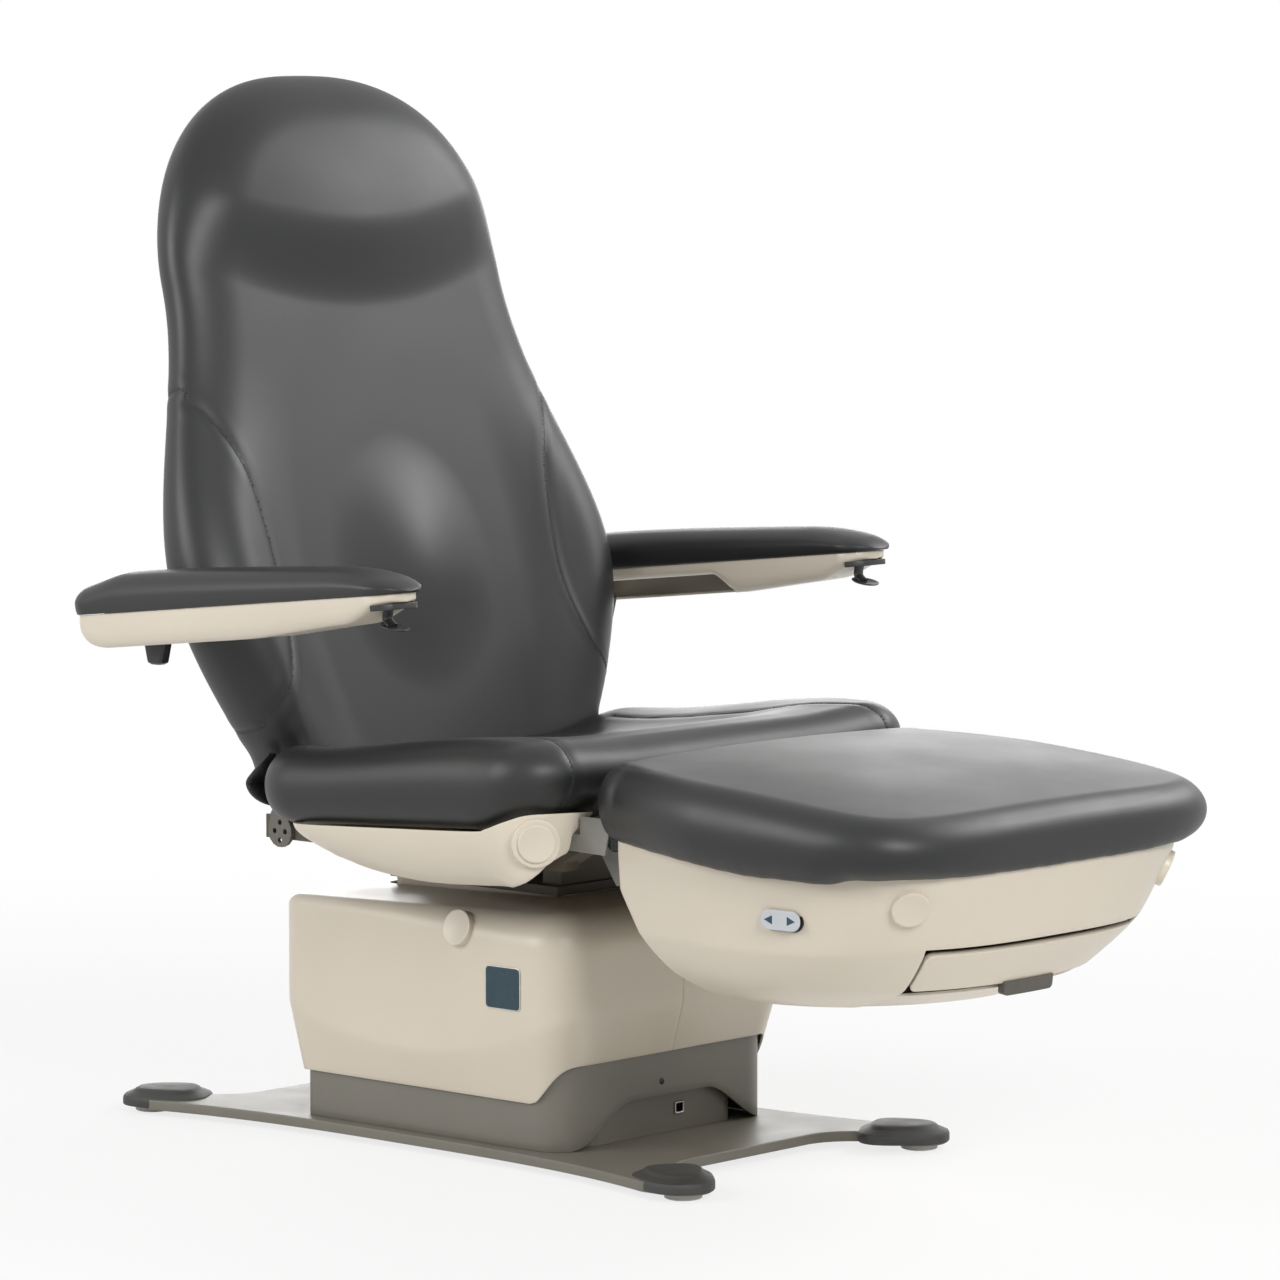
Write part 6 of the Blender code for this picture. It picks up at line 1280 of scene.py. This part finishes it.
fit(foot_pan(), cream, "foot_carriage", "cream", "foot_shell")
board_low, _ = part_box("foot_board")
board_loop = inset(whole_loop(shell_half_row(board_low.z)), SHELL_WALL + BOARD_GAP)
foot_plywood = slab("foot_plywood", board_loop, board_low.z, SHELL_BRIM - FIT_GAP, 0.0008)
fit(foot_plywood, plywood, "foot_carriage", "dark", "foot_board")
for side_name, side in SIDES:
    near, far = (shell_front_y(SHELL_PLUG_X + way, SHELL_PLUG_Z) for way in (-SLOPE_STEP, SLOPE_STEP))
    lower, upper = (shell_front_y(SHELL_PLUG_X, SHELL_PLUG_Z + way) for way in (-SLOPE_RISE, SLOPE_RISE))
    face = unit(np.array([side * (far - near) / (2 * SLOPE_STEP), -1.0, (upper - lower) / (2 * SLOPE_RISE)]))
    centre = (side * SHELL_PLUG_X, (near + far) / 2, SHELL_PLUG_Z)
    shell_plug = plug("shell_plug_" + side_name, centre, face, SHELL_PLUG_DEPTH, SHELL_PLUG_PROUD,
                      SHELL_PLUG_RADIUS)
    fit(shell_plug, cream, "foot_carriage", "cream")

# Tray
# A shallow cream drawer that slides out of the shell's window. Its front is a thick panel with rounded
# edges, bowed like the shell, and a dark finger pull hangs under it.
TRAY_GAP, TRAY_WALL = 0.0026, 0.003
PANEL_LOW, PANEL_TOP = 0.2680, 0.3152
PANEL_PROUD, PANEL_THICK, PANEL_ROUND = 0.0015, 0.008, 0.0026
PANEL_CORNER = 0.009
TRAY_REAR, TRAY_HALF, TRAY_CORNER = -0.578, 0.148, 0.008
TRAY_FLOOR_RISE, TRAY_WALL_DROP = 0.002, 0.006
PULL_HALF, PULL_LOW, PULL_HIGH, PULL_THICK = 0.0455, 0.2535, 0.2705, 0.010
PULL_CORNER, PULL_AHEAD, PULL_LEAN = 0.006, 0.006, 0.12
PULL_BROWN = (0.085, 0.075, 0.062)


def cut_in(to_end, radius):
    """How far a rounded corner stands in from the side, at a distance from the end."""
    return radius - np.sqrt(radius ** 2 - np.maximum(radius - to_end, 0) ** 2)


def front_patch(name, half, height, front, columns, thick, edge, edge_steps):
    """A bowed plate over rows of half widths and heights, with its front's Y as a function of x. It is
    thickened to the rear, and its edges are rounded."""
    x = half[:, None] * np.linspace(-1, 1, columns)
    made = surface(name, np.stack([x, front(x), height[:, None] + 0 * x], axis=-1), inside=(0, -0.6, 0.29))
    thicken(made, thick, edge).modifiers["rim"].segments = edge_steps
    return made


def tray_panel():
    """A patch of the shell's own bowed front inside the window, a little proud, with rounded corners."""
    height = np.linspace(PANEL_LOW, PANEL_TOP, 40)
    to_end = np.minimum(height - PANEL_LOW, PANEL_TOP - height)
    half = window_half(height) - TRAY_GAP - cut_in(to_end, PANEL_CORNER)

    def panel_y(x):
        return shell_front_y(x, height[:, None]) - PANEL_PROUD

    return front_patch("tray_panel", half, height, panel_y, 90, PANEL_THICK, PANEL_ROUND, 4)


def tray_box():
    """The drawer: a floor with upright walls round it, whose front follows the bowed panel."""
    low, high = PANEL_LOW + TRAY_FLOOR_RISE, PANEL_TOP - TRAY_WALL_DROP
    across = np.linspace(0, TRAY_HALF, 24)
    front = np.column_stack([across, shell_front_y(across, low) + PANEL_THICK * 0.7])
    side = np.linspace(front[-1], (TRAY_HALF, TRAY_REAR - TRAY_CORNER), 16)[1:]
    corner = arc((TRAY_HALF - TRAY_CORNER, TRAY_REAR - TRAY_CORNER), TRAY_CORNER, 0, 90, 6)[1:]
    rear = np.linspace(corner[-1], (0.0, TRAY_REAR), 16)[1:]
    loop = whole_loop(np.concatenate([front, side, corner, rear]))
    levels = ((0.0, high), (0.0, low + 0.006), (0.0012, low + 0.0022), (0.004, low), (0.012, low))
    rows = [raised(inset(loop, inward), height) for inward, height in levels]
    centre = np.array([0.0, (loop[:, 1].min() + TRAY_REAR) / 2, low])
    rows += [centre + (rows[-1] - centre) * scale for scale in (0.5, 0.0)]
    made = surface("tray_box", np.array(rows), around=True, inside=(0, -0.67, 0.30))
    return thicken(made, TRAY_WALL, 0.0006)


def finger_pull():
    """A short tongue under the panel: a plate across its middle with two rounded lower corners."""
    height = np.linspace(PULL_LOW, PULL_HIGH, 16)
    half = PULL_HALF - cut_in(height - PULL_LOW, PULL_CORNER)

    def pull_y(x):
        return shell_front_y(x, PANEL_LOW) - PULL_AHEAD + PULL_LEAN * (PULL_HIGH - height)[:, None]

    return front_patch("finger_pull", half, height, pull_y, 40, PULL_THICK, 0.002, 3)


fit(tray_box(), cream, "foot_tray", "cream", "foot_tray")
fit(tray_panel(), cream, "foot_tray", "cream")
pull_brown = coated("pull_brown", PULL_BROWN, (0.9, 1.15), (0.4, 0.5), 60.0, (1500.0, 0.0002, 0.12))
fit(finger_pull(), pull_brown, "foot_tray", "black", "tray_pull")

# Foot switch
# A pale rocker on the right of the shell, with a navy arrow printed at each end. It stands just
# proud of a dark rim and rocks either way.
SWITCH_Y, SWITCH_Z = -0.664, 0.3565
SWITCH_HALF, SWITCH_RADIUS, SWITCH_THICK, SWITCH_LIFT = 0.0275, 0.0118, 0.0030, 0.0033
SWITCH_RIM, SWITCH_RIM_LOW, SWITCH_RIM_HIGH = 0.0012, -0.0020, 0.0004
SWITCH_REACH = 0.02
ARROW_LENGTH, ARROW_HALF, ARROW_AT = 0.0112, 0.0052, 0.0158
ARROW_SUNK, ARROW_PROUD = 0.0005, 0.0002
SWITCH_GREY = (0.60, 0.62, 0.64)
NAVY = (0.012, 0.045, 0.085)

switch_grey = coated("switch_grey", SWITCH_GREY, (0.95, 1.0), (0.34, 0.44), 60.0, (1800.0, 0.0002, 0.08))
navy = coated("arrow_navy", NAVY, (0.9, 1.2), (0.4, 0.5), 90.0, (1800.0, 0.0002, 0.05))
flank = shell_half_row(SWITCH_Z) * (-1, 1)
flank = flank[SHELL_STEPS[0]:SHELL_STEPS[0] + SHELL_STEPS[1] + SHELL_STEPS[2]]
ways = np.array([-SWITCH_REACH, 0.0, SWITCH_REACH])
before, wall_x, after = np.interp(SWITCH_Y + ways, flank[:, 1], flank[:, 0])
switch_run = unit(np.array([after - before, 2 * SWITCH_REACH, 0.0]))
switch_out = np.array([-switch_run[1], switch_run[0], 0.0])
# Columns of the switch's space are along the wall to the front, up, and out of the wall
on_switch = space((wall_x, SWITCH_Y, SWITCH_Z), -switch_run, (0, 0, 1), switch_out)

pill = np.concatenate([arc((SWITCH_HALF - SWITCH_RADIUS, 0), SWITCH_RADIUS, -90, 90, 20),
                       arc((-SWITCH_HALF + SWITCH_RADIUS, 0), SWITCH_RADIUS, 90, 270, 20)])
switch_top = SWITCH_LIFT + SWITCH_THICK
rocker = slab("rocker_switch", pill, SWITCH_LIFT, switch_top, 0.0014, on_switch)
fit(rocker, switch_grey, "foot_switch", "switch", "foot_switch")
switch_rim = slab("switch_rim", inset(pill, -SWITCH_RIM), SWITCH_RIM_LOW, SWITCH_RIM_HIGH, 0.0003, on_switch)
fit(switch_rim, black_plastic, "foot_carriage", "black")
for name, hand in (("arrow_front", 1), ("arrow_rear", -1)):
    tip = ARROW_AT + ARROW_LENGTH / 2
    tail = ARROW_AT - ARROW_LENGTH / 2
    corners = np.array([(tip, 0.0), (tail, ARROW_HALF), (tail, -ARROW_HALF)]) * (hand, 1)
    edges = along_edges(corners[::hand], 8)
    arrow_rows = np.array([raised(edges, switch_top - ARROW_SUNK), raised(edges, switch_top + ARROW_PROUD)])
    fit(surface(name, on_switch(arrow_rows), around=True, caps=True), navy, "foot_switch", "switch")

# Foot cushion
# A thick foam pad with a nearly flat top and a round edge all the way round, covered in one piece of vinyl.
# The vinyl is pulled tight under the board, and its hem puckers a little where it meets the shell's rim.
FOOT_HALF, FOOT_REAR_HALF = 0.335, 0.274
FOOT_FRONT, FOOT_SHOULDER, FOOT_REAR = -0.8636, -0.562, -0.358
FOOT_POWER = 5.2
FOOT_REAR_RADIUS = 0.05
FOOT_TOP, FOOT_CROWN, FOOT_FALL = 0.5175, 0.0085, 0.040
FOOT_EDGE, FOOT_LAP, FOOT_LOW_EDGES = 0.038, 0.0050, (0.005, 0.032)
FOOT_CUSHION_LOW = 0.4067
HEM_DROP, HEM_REACH, HEM_PUCKER = 0.0026, 0.004, 0.0004
HEM_CLIMB, HEM_CLIMB_Y, HEM_CLIMB_LENGTH = 0.0210, -0.62, 0.23
HEM_FRONT_CLIMB, HEM_FRONT_Y, HEM_FRONT_LENGTH = 0.0085, -0.735, 0.04


def foot_loop():
    """Plan of the cushion: a power-law front, sides that draw in to the rear, and rounded rear corners."""
    nose = bowed_nose(FOOT_HALF, FOOT_FRONT, FOOT_SHOULDER, FOOT_POWER, np.linspace(0, math.pi / 2, 400))
    side_y = np.linspace(FOOT_SHOULDER, FOOT_REAR - FOOT_REAR_RADIUS, 60)[1:]
    share = (side_y - FOOT_SHOULDER) / (FOOT_REAR - FOOT_SHOULDER)
    side = np.column_stack([FOOT_HALF + (FOOT_REAR_HALF - FOOT_HALF) * share ** DRAW_POWER, side_y])
    corner = arc(side[-1] - (FOOT_REAR_RADIUS, 0), FOOT_REAR_RADIUS, 0, 90, 40)[1:]
    half = evenly(np.concatenate([nose, side, corner, [(0.0, FOOT_REAR)]]), 0.0045)
    return whole_loop(half)


def foot_low(x, y):
    """The underside lies on the board and hangs over the shell's rim, where it puckers a little."""
    power = SHELL_POWERS[-1]
    front = (np.maximum(SHELL_SHOULDER - y, 0) / (SHELL_SHOULDER - SHELL_FRONTS[-1])) ** power
    drawn = np.clip((y - SHELL_SHOULDER) / (SHELL_REAR - SHELL_SHOULDER), 0, 1) ** DRAW_POWER
    side = (np.abs(x) / (SHELL_HALF - SHELL_DRAW * drawn)) ** power
    outside = (front + side) ** (1 / power) - 1.0
    turn = np.arctan2(y - SHELL_SHOULDER, x)
    pucker = HEM_PUCKER * (np.sin(23 * turn) * np.sin(9 * turn + 1.0) + 0.5 * np.sin(61 * turn + 0.7))
    climb = HEM_CLIMB * np.clip((y - HEM_CLIMB_Y) / HEM_CLIMB_LENGTH, 0, 1)
    climb = climb + HEM_FRONT_CLIMB * ease((HEM_FRONT_Y - y) / HEM_FRONT_LENGTH)
    return FOOT_CUSHION_LOW + (climb - HEM_DROP - pucker) * ease(outside / HEM_REACH)


def foot_high(x, y):
    """A nearly flat top: a slight crown across, and a fall to the front that grows with the distance."""
    share = np.clip((FOOT_REAR - y) / (FOOT_REAR - FOOT_FRONT), 0, 1)
    return FOOT_TOP - FOOT_CROWN * (x / FOOT_HALF) ** 2 - FOOT_FALL * share ** 2


foot_plan = foot_loop()
beyond_shell, _ = nearest(foot_plan, whole_loop(shell_half_row(SHELL_BRIM)))
foot_low_edge = np.clip(beyond_shell - FOOT_LAP, *FOOT_LOW_EDGES)
foot_grid = cushion_grid(foot_plan, FOOT_EDGE, foot_low_edge, foot_low, foot_high, 34, 50)
cushion("foot_upholstery", "foot_carriage", "foot_cushion", foot_grid, unchanged)
